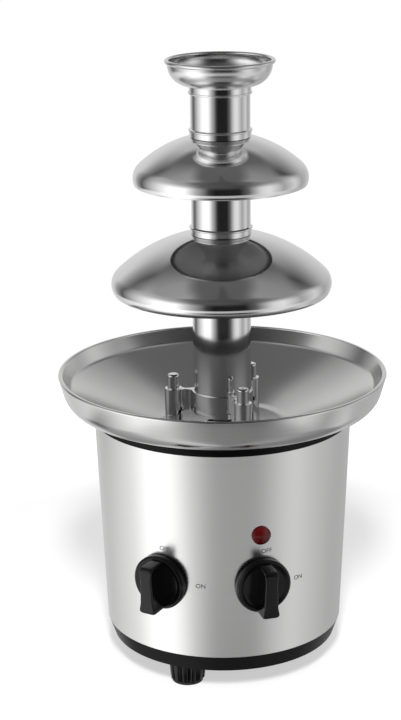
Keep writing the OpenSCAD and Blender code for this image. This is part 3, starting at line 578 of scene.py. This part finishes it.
@dataclass
class Basin:
    """The double-walled basin: an outer skirt with a rolled rim, and the pan inside it."""

    rim_r: float = 107.8 * MM
    rim_z: float = 196.2 * MM
    seat_z: float = 172.8 * MM
    seat_in: float = 80.8 * MM
    lean: float = 0.2778
    skirt_round: float = 15.5 * MM
    wall: float = 0.8 * MM
    lip: float = 2.2 * MM
    lip_round: float = 1.0 * MM
    pan_lap: float = 1.6 * MM
    pan_inset: float = 3.1 * MM
    pan_lean: float = 0.51
    wall_h: float = 9.0 * MM
    crease_round: float = 5.0 * MM
    pass_r: float = 78.0 * MM
    pass_z: float = 173.9 * MM
    pass_round: float = 343.0 * MM
    floor_z: float = 159.3 * MM
    floor_r: float = 43.0 * MM
    floor_round: float = 20.0 * MM
    hole_r: float = 9.0 * MM

    def build(self) -> None:
        """Makes skirt and pan as sheets along rounded paths, revolved about the axis."""
        corner_r = self.rim_r - self.lean * (self.rim_z - self.seat_z)
        skirt = rounded([(self.seat_in, self.seat_z), (corner_r, self.seat_z), (self.rim_r, self.rim_z),
                         (self.rim_r - self.lip, self.rim_z)],
                        [0, self.skirt_round, self.lip_round, 0], count=16)
        dress(mesh_piece("basin_outer", *lathe(sheet(skirt, self.wall), SEGMENTS)), "base", "satin_steel",
              "basin_steel", "basin_skirt")
        pan_z = self.rim_z - self.wall
        pan_r = self.rim_r - self.pan_inset
        crease = (pan_r - self.pan_lean * self.wall_h, pan_z - self.wall_h)
        pan = rounded([(self.rim_r - self.pan_lap, pan_z), (pan_r, pan_z), crease,
                       (self.pass_r, self.pass_z), (self.floor_r, self.floor_z),
                       (self.hole_r, self.floor_z)],
                      [0, 0, self.crease_round, self.pass_round, self.floor_round, 0], count=20)
        dress(mesh_piece("basin_inner", *lathe(sheet(pan, self.wall), SEGMENTS)), "base", "satin_steel",
              "pan_steel", "basin_pan")


@dataclass(frozen=True)
class Dome:
    """Radii of a dome, of its crown's sphere and of its rolled edge, and how far the edge turns down."""

    radius: float
    crown_r: float
    edge_r: float
    lip: float


@dataclass
class Tower:
    """Three slip-jointed tubes with two domes and the crown bowl."""

    tube_r: float = 19.0 * MM
    wall: float = 0.6 * MM
    play: float = 0.05 * MM
    collar_h: float = 4.0 * MM
    bead_r: float = 0.7 * MM
    bead_span: float = 80.0
    bead_ease: float = 0.4 * MM
    tube_z: float = 169.0 * MM
    tier_1: float = 288.2 * MM
    tier_2: float = 351.0 * MM
    crown_z: float = 383.0 * MM
    large: Dome = Dome(71.3 * MM, 98.8 * MM, 9.4 * MM, 5.4 * MM)
    small: Dome = Dome(56.2 * MM, 78.0 * MM, 11.0 * MM, 3.8 * MM)
    dome_wall: float = 0.8 * MM
    dome_edge: float = 0.15 * MM
    hole_gap: float = 0.1 * MM
    collar_gap: float = 0.2 * MM
    spigot_gap: float = 0.3 * MM
    rim_r: float = 35.0 * MM
    rim_round: float = 1.4 * MM
    rim_span: Pair = (-100.0, 190.0)
    rim_drop: float = 1.1 * MM
    bowl_h: float = 17.0 * MM
    bowl_inset: float = 0.4 * MM
    bowl_flat: float = 0.8 * MM
    neck_h: float = 0.4 * MM
    neck_round: float = 0.5 * MM

    def tube(self, low: float, high: float) -> Array:
        """Outline of a plain tube between two heights."""
        inner = self.tube_r - self.wall
        return np.array([(inner, low), (self.tube_r, low), (self.tube_r, high), (inner, high)])

    def bead(self, z: float) -> Array:
        """Outline of the rolled bead where a collar begins."""
        centre = (self.tube_r + self.play + self.wall, z)
        return arc(centre, self.bead_r, -self.bead_span, self.bead_span, count=10)

    def socket_tube(self, low: float, high: float, top_socket: bool) -> Array:
        """Outline of a tube whose ends widen into slip collars with a rolled bead.

        Args:
            low: Height of the lower collar's edge.
            high: Height of the upper end.
            top_socket: Whether the upper end has a collar too.

        Returns:
            The closed outline.
        """
        inner = self.tube_r - self.wall
        collar_in = self.tube_r + self.play
        collar_out = collar_in + self.wall
        ease = self.bead_r + self.bead_ease
        step = low + self.collar_h
        outside = [np.array([(collar_out, low)]), self.bead(step), np.array([(self.tube_r, step + ease)])]
        inside = [np.array([(inner, step), (collar_in, step), (collar_in, low)])]
        if top_socket:
            seat = high - self.collar_h
            socket = [(collar_out, high), (collar_in, high), (collar_in, seat), (inner, seat)]
            outside += [np.array([(self.tube_r, seat - ease)]), self.bead(seat), np.array(socket)]
        else:
            outside += [np.array([(self.tube_r, high), (inner, high)])]
        return np.concatenate(outside + inside)

    def dome(self, shape: Dome, top_z: float) -> Array:
        """Outline of a dome: a spherical crown that runs tangentially into a rolled edge.

        Args:
            shape: The dome's sizes.
            top_z: Height of the hole's edge.

        Returns:
            The closed outline.
        """
        hole = self.tube_r + self.hole_gap
        edge_at = shape.radius - shape.edge_r
        span = math.sqrt((shape.crown_r - shape.edge_r) ** 2 - edge_at ** 2)
        edge_z = top_z - math.sqrt(shape.crown_r ** 2 - hole ** 2) + span
        meet = math.degrees(math.atan2(span, edge_at))
        end = -math.degrees(math.asin(shape.lip / shape.edge_r))

        def face(inset: float) -> Array:
            """One face of the sheet, from the hole to the lip.

            Args:
                inset: Its depth below the outer face.

            Returns:
                The face's points.
            """
            start = math.degrees(math.acos(hole / (shape.crown_r - inset)))
            top = arc((0.0, edge_z - span), shape.crown_r - inset, start, meet, count=40)
            edge = arc((edge_at, edge_z), shape.edge_r - inset, meet, end, count=24)
            return np.concatenate([top, edge[1:]])

        lip_edge = face(self.dome_wall / 2)[-1:] - np.array([[0.0, self.dome_edge]])
        return np.concatenate([face(0.0), lip_edge, face(self.dome_wall)[::-1]])

    def crown(self) -> Array:
        """Outline of the crown: a neck that opens into a round bowl with a rolled rim.

        Returns:
            The closed outline.
        """
        rim_at = self.rim_r - self.rim_round
        rim_z = self.crown_z + self.bowl_h - self.rim_round
        bowl_r = rim_at - self.bowl_inset
        low = self.crown_z + self.neck_h
        neck_z = self.crown_z - self.collar_h + self.spigot_gap
        path = rounded([(self.tube_r, neck_z), (self.tube_r, low), (bowl_r, low),
                        (bowl_r, rim_z - self.rim_drop)],
                       [0, self.neck_round, bowl_r - self.tube_r - self.bowl_flat, 0], count=30)
        rim = arc((rim_at, rim_z), self.rim_round, *self.rim_span, count=30)
        return np.concatenate([path, rim, offset(path, self.wall)[::-1]])

    def build(self) -> None:
        """Makes tubes, domes and crown, each on the body that lifts off with it."""
        spigot = self.collar_gap + self.collar_h - self.spigot_gap
        middle = self.socket_tube(self.tier_1 + self.collar_gap, self.tier_2 + spigot, False)
        top = self.socket_tube(self.tier_2 + self.collar_gap, self.crown_z, True)
        pieces = [
            ("lower_tube_skin", self.tube(self.tube_z, self.tier_1 + spigot), "tower", "lower_tube"),
            ("large_dome_skin", self.dome(self.large, self.tier_1), "tower", "large_dome"),
            ("middle_tube_skin", middle, "middle", "middle_tube"),
            ("small_dome_skin", self.dome(self.small, self.tier_2), "middle", "small_dome"),
            ("top_tube_skin", top, "crown", "top_tube"),
            ("crown_skin", self.crown(), "crown", "crown_bowl"),
        ]
        for name, outline, body, node in pieces:
            finish = "crown_steel" if node == "crown_bowl" else "polished_steel"
            piece = mesh_piece(name, *lathe(outline, SEGMENTS))
            dress(piece, body, "polished_steel", finish, node)
            if node.endswith("dome"):
                # The domes' undersides, which face the axis, get a darker steel as painted shade
                PAINT.inside(piece, "dull_steel")


@dataclass
class Pins:
    """Three upright pins on the basin's floor, each with a shoulder that carries the tower."""

    circle_r: float = 32.4 * MM
    angles: tuple[float, ...] = (60.0, 180.0, 300.0)
    floor_z: float = 159.3 * MM
    shoulder_r: float = 5.8 * MM
    shoulder_h: float = 6.0 * MM
    shoulder_round: float = 0.3 * MM
    pin_r: float = 4.0 * MM
    pin_h: float = 27.4 * MM
    tip_round: float = 1.6 * MM
    stud_r: float = 3.0 * MM
    stud_z: float = 145.0 * MM

    def build(self) -> None:
        """Makes the pins: one outline with rounded edges, revolved and set at each angle."""
        seat = self.floor_z + self.shoulder_h
        top = seat + self.pin_h
        outline = rounded([(0.0, self.stud_z), (self.stud_r, self.stud_z), (self.stud_r, self.floor_z),
                           (self.shoulder_r, self.floor_z), (self.shoulder_r, seat), (self.pin_r, seat),
                           (self.pin_r, top), (0.0, top)],
                          [0, 0, 0, 0, self.shoulder_round, 0, self.tip_round, 0], count=8)
        points, faces = lathe_solid(outline, PIN_SEGMENTS)
        piece = mesh_piece("pins", *merged([
            (turned(points, angle, self.circle_r), faces) for angle in self.angles]))
        dress(piece, "base", "polished_steel", "polished_steel", "tower_pins")


@dataclass
class TowerFoot:
    """The strap round the lower tube, with three sleeves that drop over the pins."""

    pins: Pins
    tube_r: float = 19.0 * MM
    strap: float = 1.0 * MM
    strap_h: float = 15.0 * MM
    sleeve_h: float = 17.7 * MM
    bore_r: float = 4.05 * MM
    edge: float = 0.35 * MM
    neck_w: float = 3.0 * MM
    neck_ease: float = 0.4 * MM
    strap_bite: float = 0.5
    sleeve_bite: float = 0.7

    def neck(self, low: float, high: float) -> Surface:
        """The hourglass web between strap and sleeve: half width = w/2 + q - sqrt(q^2 - (x - m)^2).

        Args:
            low: Lower height.
            high: Upper height.

        Returns:
            Vertices and faces of the web on the +X side.
        """
        start = self.tube_r + self.strap_bite * self.strap
        end = self.pins.circle_r - self.sleeve_bite * self.pins.shoulder_r
        middle = 0.5 * (self.tube_r + self.strap + self.pins.circle_r - self.pins.shoulder_r)
        reach = 0.5 * (end - start) + self.neck_ease
        x = np.linspace(start, end, num=24)
        half = 0.5 * self.neck_w + reach - np.sqrt(np.maximum(reach ** 2 - (x - middle) ** 2, 0.0))
        ring = np.concatenate([np.stack([x, -half], 1), np.stack([x[::-1], half[::-1]], 1)])
        rows = np.stack([np.column_stack([ring, np.full(len(ring), z)]) for z in (low, high)])
        return capped(rows, (middle, 0.0, low), (middle, 0.0, high))

    def band(self, inner: float, outer: float, low: float, high: float) -> Array:
        """Outline of a ring whose outer edges are rounded."""
        corners = [(inner, low), (outer, low), (outer, high), (inner, high)]
        return rounded(corners, [0, self.edge, self.edge, 0], count=5)

    def build(self) -> None:
        """Makes strap, sleeves and webs, all revolved or drawn from their plan outlines."""
        low = self.pins.floor_z + self.pins.shoulder_h
        high = low + self.sleeve_h
        strap_z = high - self.strap_h
        strap = self.band(self.tube_r, self.tube_r + self.strap, strap_z, high)
        sleeve = self.band(self.bore_r, self.pins.shoulder_r, low, high)
        parts = [lathe(strap, SEGMENTS)]
        for angle in self.pins.angles:
            points, faces = lathe(sleeve, PIN_SEGMENTS)
            parts.append((turned(points, angle, self.pins.circle_r), faces))
            points, faces = self.neck(strap_z + self.edge, high - self.edge)
            parts.append((turned(points, angle), faces))
        piece = mesh_piece("foot_clamp", *merged(parts))
        dress(piece, "tower", "polished_steel", "polished_steel", "tower_foot")


@dataclass
class Knob:
    """A rotary knob: a round skirt and a bar grip that widens towards its lower end."""

    name: str
    place: Matrix
    skirt_r: float = 18.1 * MM
    gap: float = 0.8 * MM
    skirt_h: float = 4.6 * MM
    foot_round: float = 0.3 * MM
    bevel_w: float = 1.2 * MM
    bevel_h: float = 1.4 * MM
    bevel_round: float = 0.6 * MM
    dish_in: float = 4.0 * MM
    dish_depth: float = 0.5 * MM
    dish_round: float = 1.0 * MM
    hollow_r: float = 8.5 * MM
    hollow_z: float = 3.5 * MM
    front_z: float = 20.0 * MM
    sunk: float = 1.2 * MM
    half_waist: float = 3.7 * MM
    half_end: float = 6.0 * MM
    waist_y: float = 3.0 * MM
    flare_r: float = 85.0 * MM
    grip_r: float = 16.3 * MM
    end_round: float = 2.5 * MM
    edge: float = 0.9 * MM
    squareness: float = 14.0
    side_rows: int = 8
    edge_rows: int = 11
    ring_points: int = 160

    def skirt(self) -> Surface:
        """The skirt: a slightly dished disc with a bevelled rim, hollow underneath over the panel nut.

        Returns:
            Vertices and faces in the knob's frame.
        """
        low, high = self.gap, self.gap + self.skirt_h
        dish = high - self.dish_depth
        outline = rounded([
            (0.0, self.hollow_z), (self.hollow_r, self.hollow_z), (self.hollow_r, low),
            (self.skirt_r, low), (self.skirt_r, high - self.bevel_h),
            (self.skirt_r - self.bevel_w, high), (self.skirt_r - self.dish_in, dish), (0.0, dish)],
            [0, 0, 0, self.foot_round, self.bevel_round, self.bevel_round, self.dish_round, 0], count=6)
        return lathe_solid(outline, FINE_SEGMENTS)

    def grip(self) -> Surface:
        """The bar: boxy rings stacked along the knob's axis.

        A unit ring has x = sign(cos t)|cos t|^(2/squareness), and y the same with sin t. At the place y
        along the bar the half width is w = waist + (y - y0)^2 / (2 flare_r), and the ends follow the
        circle y = sqrt(grip_r^2 - w^2). Towards the front both draw in along round edges.

        Returns:
            Vertices and faces in the knob's frame.
        """
        base = self.gap + self.skirt_h - self.sunk
        bend = np.linspace(0.0, math.pi / 2, self.edge_rows + 1)[1:]
        low = np.linspace(base, self.front_z - self.end_round, self.side_rows)
        heights = np.concatenate([low, self.front_z - self.end_round * (1.0 - np.sin(bend))])
        shorter = np.concatenate([np.zeros_like(low), self.end_round * (1.0 - np.cos(bend))])[:, None]
        past = np.maximum(heights - self.front_z + self.edge, 0.0)[:, None]
        thinner = self.edge - np.sqrt(self.edge ** 2 - past ** 2)
        t = (np.arange(self.ring_points) + 0.5) * 2.0 * math.pi / self.ring_points
        across, along = (np.sign(v) * np.abs(v) ** (2.0 / self.squareness) for v in (np.cos(t), np.sin(t)))
        spread = self.half_waist + (self.grip_r * along - self.waist_y) ** 2 / (2.0 * self.flare_r)
        x = (np.minimum(spread, self.half_end) - thinner) * across
        y = (np.sqrt(self.grip_r ** 2 - x ** 2) - shorter) * along
        rows = np.stack([x, y, np.broadcast_to(heights[:, None], x.shape)], -1)
        return capped(rows, (0.0, 0.0, base), (0.0, 0.0, self.front_z))

    def build(self) -> None:
        """Makes the knob's two surfaces and sets them on the shell."""
        points, faces = merged([self.skirt(), self.grip()])
        piece = mesh_piece(self.name + "_cap", placed(points, self.place), faces)
        dress(piece, self.name, "gloss_black", "gloss_black", self.name)


@dataclass
class Feet:
    """Three levelling feet with lobed grips."""

    circle_r: float = 59.5 * MM
    first: float = 252.0
    count: int = 3
    top_r: float = 12.5 * MM
    bottom_r: float = 11.2 * MM
    low: float = 1.8 * MM
    high: float = 15.2 * MM
    edge: float = 1.0 * MM
    lobes: int = 12
    lobe_points: int = 16
    groove: float = 1.6 * MM

    def grip(self) -> Surface:
        """A grip: radius = R(z) - groove c^3 with c = (1 + cos(lobes t)) / 2, and rounded edges.

        Returns:
            Vertices and faces about the foot's own axis.
        """
        bend = np.linspace(0.0, math.pi / 2, num=5)
        drawn_in = self.edge * (1 - np.sin(bend))
        along = self.edge * (1 - np.cos(bend))
        heights = np.concatenate([self.low + along, self.high - drawn_in])
        inset = np.concatenate([drawn_in, along])
        share = (heights - self.low) / (self.high - self.low)
        turn = np.linspace(0.0, 2 * math.pi, self.lobes * self.lobe_points, endpoint=False)
        groove = self.groove * (0.5 + 0.5 * np.cos(self.lobes * turn)) ** 3
        plain = self.bottom_r + (self.top_r - self.bottom_r) * share - inset
        radius = plain[:, None] - groove[None, :]
        height = np.broadcast_to(heights[:, None], radius.shape)
        rows = np.stack([radius * np.cos(turn), radius * np.sin(turn), height], -1)
        return capped(rows, (0.0, 0.0, self.low), (0.0, 0.0, self.high))

    def build(self) -> None:
        """Makes the three grips, each on its own body."""
        points, faces = self.grip()
        for number in range(1, self.count + 1):
            angle = self.first + 360.0 / self.count * (number - 1)
            place = turned(points, angle, self.circle_r)
            piece = mesh_piece(f"foot_grip_{number}", place, faces)
            dress(piece, f"foot_{number}", "gloss_black", "gloss_black", f"foot_{number}")


@dataclass
class Controls:
    """Two knobs, the pilot lamp and the printed words on the shell's front."""

    housing: Housing
    knob_z: float = 77.3 * MM
    turn: float = 23.4
    lamp_z: float = 111.1 * MM
    lamp_turn: float = 22.8
    lens_r: float = 6.0 * MM
    lens_edge: float = 0.9 * MM
    lens_top: float = 3.0 * MM
    lens_round: float = 10.2 * MM
    lens_span: Pair = (53.0, 89.0)
    lens_gap: float = 0.1 * MM
    stem_r: float = 4.5 * MM
    stem_z: float = -8.0 * MM
    font_size: float = 4.2 * MM
    ink: float = 0.06 * MM
    off_turn: float = 2.0
    off_z: float = 99.8 * MM
    on_turn: float = 18.8
    on_z: float = 76.6 * MM

    def label(self, name: str, word: str, azimuth: float, z: float) -> None:
        """Prints a word on the shell: flat letters wrapped round the cone.

        Args:
            name: Name of the piece.
            word: The word.
            azimuth: Turn of its middle from the front, in degrees.
            z: Height of its middle.
        """
        curve = bpy.data.curves.new(name, "FONT")
        curve.body = word
        curve.size = self.font_size
        curve.align_x = "CENTER"
        curve.align_y = "CENTER"
        holder = new_object(name + "_text", curve)
        bpy.context.view_layer.update()
        graph = bpy.context.evaluated_depsgraph_get()
        mesh = bpy.data.meshes.new_from_object(holder.evaluated_get(graph))
        bpy.data.objects.remove(holder)
        flat = np.zeros(len(mesh.vertices) * 3)
        mesh.vertices.foreach_get("co", flat)
        flat = flat.reshape(-1, 3)
        height = z + flat[:, 1] * math.cos(self.housing.tilt)
        reach = self.housing.radius(height) + self.ink
        angle = math.radians(azimuth) + flat[:, 0] / reach
        wrapped = np.stack([reach * np.sin(angle), -reach * np.cos(angle), height], 1)
        mesh.vertices.foreach_set("co", wrapped.ravel())
        mesh.update()
        dress(new_object(name, mesh), "base", "black_plastic", "print_black")

    def lens(self) -> None:
        """Makes the pilot lamp's lens: a stem through the shell, a flange and a domed face."""
        outline = np.concatenate([
            [(0.0, self.stem_z), (self.stem_r, self.stem_z), (self.stem_r, self.lens_gap),
             (self.lens_r, self.lens_gap), (self.lens_r, self.lens_edge)],
            arc((0.0, self.lens_top - self.lens_round), self.lens_round, *self.lens_span, count=14),
            [(0.0, self.lens_top)]])
        points, faces = lathe_solid(outline, FINE_SEGMENTS)
        place = self.housing.frame_at(self.lamp_turn, self.lamp_z)
        piece = mesh_piece("pilot_lens", placed(points, place), faces)
        dress(piece, "base", "lamp_red", "lamp_red", "lamp_lens")

    def build(self) -> None:
        """Makes the knobs with the words beside them, and the lamp's lens."""
        for side, azimuth in (("motor", -self.turn), ("heat", self.turn)):
            Knob(side + "_knob", self.housing.frame_at(azimuth, self.knob_z)).build()
            self.label(side + "_off", "OFF", azimuth + self.off_turn, self.off_z)
            self.label(side + "_on", "ON", azimuth + self.on_turn, self.on_z)
        self.lens()


@dataclass
class PhotoCamera:
    """The camera of the photograph, fitted to the rims of basin, domes and tubes."""

    lens_mm: float = 95.0
    sensor_mm: float = 36.0
    distance: float = 1192.0 * MM
    height: float = 566.0 * MM
    yaw: float = -0.68
    pitch: float = 16.94
    roll: float = -0.62

    def build(self) -> None:
        """Sets the camera from yaw, pitch and roll, and turns it about Z to the side of the panel."""
        data = bpy.data.cameras.new("photo_camera")
        data.lens = self.lens_mm
        data.sensor_width = self.sensor_mm
        camera = new_object("photo_camera", data)
        place = Matrix.Translation((0.0, -self.distance, self.height))
        aim = spin(-self.yaw, "Z") @ spin(90.0 - self.pitch, "X") @ spin(self.roll, "Z")
        camera.matrix_world = spin(PANEL_TURN, "Z") @ place @ aim
        bpy.context.scene.camera = camera


@dataclass
class Studio:
    """White table, one soft lamp and a room that polished metal reflects.

    Each ring of the room holds pairs: degrees to the right of the camera, and light level. Each step
    holds the elevations in degrees between which one ring passes into the next one.
    """

    ambient: float = 0.5
    table_r: float = 0.62
    table_glow: float = 0.55
    table_grey: float = 0.4
    table_rough: float = 0.9
    glow_span: Pair = (0.5, 0.95)
    lamp_reach: float = 1.2
    lamp_z: float = 1.3
    lamp_size: Pair = (0.16, 0.4)
    lamp_power: float = 36.0
    lamp_aim_z: float = 0.2
    near_floor: float = 0.46
    steps: Pairs = ((-47, -42), (-37, -32), (-21.5, -16.5), (12, 42), (42, 52), (66, 78))
    ceiling: Pairs = (
        (-180, 0.12), (-20, 0.11), (-2, 0.075), (14, 0.075), (32, 0.11), (180, 0.12))
    sides: Pairs = (
        (-180, 0.12), (-140, 0.12), (-110, 0.3), (-70, 0.36), (-46, 0.13), (-18, 0.08),
        (20, 0.07), (50, 0.12), (75, 0.3), (110, 0.26), (140, 0.12), (180, 0.12))
    high: Pairs = (
        (-180, 0.5), (-160, 0.5), (-132, 0.09), (-112, 0.42), (-90, 0.45), (-55, 0.36),
        (-30, 0.1), (30, 0.06), (72, 0.26), (110, 0.28), (128, 0.06), (160, 0.46),
        (180, 0.5))
    walls: Pairs = (
        (-180, 0.72), (-150, 0.68), (-138, 0.35), (-124, 0.1), (-108, 0.42), (-90, 0.8),
        (-72, 1.2), (-48, 1.2), (-33, 0.5), (-16, 0.05), (-8, 0.012), (24, 0.014),
        (36, 0.12), (54, 0.74), (66, 0.84), (90, 0.4), (112, 0.7), (130, 0.4),
        (168, 0.68), (180, 0.72))
    floor: Pairs = (
        (-180, 0.75), (-140, 0.66), (-92, 1.0), (-72, 1.5), (-48, 1.45), (-28, 0.85),
        (-8, 0.545), (30, 0.495), (70, 0.8), (120, 0.5), (180, 0.5))

    def ring(self, tree: NodeTree, stops: Pairs, share: NodeSocket) -> NodeSocket:
        """Makes one ring of the room: a grey ramp by azimuth.

        Args:
            tree: The world's node tree.
            stops: The ring's levels.
            share: Azimuth as a share of the full turn, 0.5 at the camera.

        Returns:
            The colour socket.
        """
        node = add_node(tree, "ValToRGB")
        elements = node.color_ramp.elements
        elements.remove(elements[1])
        for number, (azimuth, level) in enumerate(stops):
            place = (azimuth + 180.0) / 360.0
            element = elements[0] if number == 0 else elements.new(place)
            element.position = place
            element.color = (level, level, level, 1.0)
        tree.links.new(share, node.inputs["Fac"])
        return node.outputs["Color"]

    def passage(self, tree: NodeTree, rise: NodeSocket, span: Pair, below: NodeSocket,
                above: NodeSocket) -> NodeSocket:
        """Passes smoothly from one colour into another one between two elevations.

        Args:
            tree: The world's node tree.
            rise: Sine of the elevation.
            span: The two elevations in degrees.
            below: Colour under the first one.
            above: Colour over the second one.

        Returns:
            The colour socket.
        """
        low, high = (math.sin(math.radians(elevation)) for elevation in span)
        step = add_node(tree, "MapRange", values={"From Min": low, "From Max": high})
        step.interpolation_type = "SMOOTHSTEP"
        blend = add_node(tree, "Mix")
        blend.data_type = "RGBA"
        tree.links.new(rise, step.inputs["Value"])
        tree.links.new(step.outputs["Result"], blend.inputs["Factor"])
        tree.links.new(below, blend.inputs["A"])
        tree.links.new(above, blend.inputs["B"])
        return blend.outputs["Result"]

    def panorama(self, tree: NodeTree) -> NodeSocket:
        """Makes the room that metal sees: a floor, walls, high walls, side lights and a ceiling.

        Args:
            tree: The world's node tree.

        Returns:
            The colour socket.
        """
        link = tree.links.new
        place = add_node(tree, "TexCoord")
        facing = add_node(tree, "VectorRotate", values={"Angle": -math.radians(PANEL_TURN)})
        facing.rotation_type = "Z_AXIS"
        split = add_node(tree, "SeparateXYZ")
        back = add_node(tree, "Math", "MULTIPLY")
        back.inputs[1].default_value = -1.0
        around = add_node(tree, "Math", "ARCTAN2")
        share = add_node(tree, "MapRange", values={"From Min": -math.pi, "From Max": math.pi})
        link(place.outputs["Generated"], facing.inputs["Vector"])
        link(facing.outputs["Vector"], split.inputs["Vector"])
        link(split.outputs["Y"], back.inputs[0])
        link(split.outputs["X"], around.inputs[0])
        link(back.outputs["Value"], around.inputs[1])
        link(around.outputs["Value"], share.inputs["Value"])
        near = tuple((azimuth, level * self.near_floor) for azimuth, level in self.floor)
        rings = (near, self.walls, self.floor, self.walls, self.high, self.sides, self.ceiling)
        level, *others = (self.ring(tree, stops, share.outputs["Result"]) for stops in rings)
        for span, above in zip(self.steps, others):
            level = self.passage(tree, split.outputs["Z"], span, level, above)
        return level

    def room(self) -> None:
        """Sets the world: white to the camera, the panorama to metal and even light to the rest."""
        world = bpy.data.worlds.new("studio_room")
        bpy.context.scene.world = world
        world.use_nodes = True
        tree = world.node_tree
        tree.nodes.clear()
        link = tree.links.new
        path = add_node(tree, "LightPath")
        seen = add_node(tree, "Background")
        even = add_node(tree, "Background", values={"Color": WHITE, "Strength": self.ambient})
        white = add_node(tree, "Background", values={"Color": WHITE})
        link(self.panorama(tree), seen.inputs["Color"])
        shiny = add_node(tree, "Math", "MAXIMUM")
        link(path.outputs["Is Glossy Ray"], shiny.inputs[0])
        link(path.outputs["Is Transmission Ray"], shiny.inputs[1])
        metal, view = (add_node(tree, "MixShader") for _ in range(2))
        link(shiny.outputs["Value"], metal.inputs["Fac"])
        link(even.outputs["Background"], metal.inputs[1])
        link(seen.outputs["Background"], metal.inputs[2])
        link(path.outputs["Is Camera Ray"], view.inputs["Fac"])
        link(metal.outputs["Shader"], view.inputs[1])
        link(white.outputs["Background"], view.inputs[2])
        out = add_node(tree, "OutputWorld")
        link(view.outputs["Shader"], out.inputs["Surface"])

    def table(self) -> None:
        """Lays a round table that glows, more so towards its rim, so that only a soft shadow shows."""
        angle = np.linspace(0.0, 2.0 * math.pi, num=128, endpoint=False)
        rim = self.table_r * np.stack([np.cos(angle), np.sin(angle), np.zeros_like(angle)], 1)
        disc = mesh_piece("table", rim, [list(range(len(rim)))])
        material, shader = new_material("table", {
            "Base Color": (*[self.table_grey] * 3, 1.0), "Roughness": self.table_rough,
            "Specular IOR Level": 0.0, "Emission Color": WHITE})
        tree = material.node_tree
        place = add_node(tree, "TexCoord")
        reach = add_node(tree, "VectorMath", "LENGTH")
        first, last = self.glow_span
        glow = add_node(tree, "MapRange", values={
            "From Min": first * self.table_r, "From Max": last * self.table_r, "To Min": self.table_glow})
        tree.links.new(place.outputs["Object"], reach.inputs[0])
        tree.links.new(reach.outputs["Value"], glow.inputs["Value"])
        tree.links.new(glow.outputs["Result"], shader.inputs["Emission Strength"])
        disc.data.materials.append(material)
        disc.visible_glossy = False
        disc.visible_diffuse = False

    def lamp(self) -> None:
        """Hangs a soft lamp over the camera, pointed at the basin."""
        data = bpy.data.lights.new("key_lamp", "AREA")
        data.shape = "RECTANGLE"
        data.size, data.size_y = self.lamp_size
        data.energy = self.lamp_power
        lamp = new_object("key_lamp", data)
        side = math.radians(PANEL_TURN)
        lamp.location = (self.lamp_reach * math.sin(side), -self.lamp_reach * math.cos(side), self.lamp_z)
        aim = Vector((0.0, 0.0, self.lamp_aim_z)) - lamp.location
        lamp.rotation_euler = aim.to_track_quat("-Z", "Y").to_euler()
        lamp.visible_glossy = False

    def build(self) -> None:
        """Sets the room, the table and the lamp."""
        self.room()
        self.table()
        self.lamp()
        bpy.context.scene.view_settings.view_transform = "Standard"


def paint_solids() -> None:
    """Gives every CAD solid the finish of its slot."""
    slot_of = {s["node"]: s["material_slot"] for s in frame["record"]["subparts"]}
    for node, piece in frame["nodes"].items():
        PAINT.on(piece, slot_of[node])


def main() -> None:
    """Builds the fountain's pieces in order, then the studio."""
    logging.basicConfig(level=logging.INFO, format="%(name)s: %(message)s")
    paint_solids()
    PhotoCamera().build()
    housing = Housing()
    housing.build()
    Basin().build()
    Tower().build()
    pins = Pins()
    pins.build()
    TowerFoot(pins).build()
    Feet().build()
    Controls(housing).build()
    Studio().build()
    LOG.info("the fountain and its studio are built")


if __name__ == "__main__":
    main()
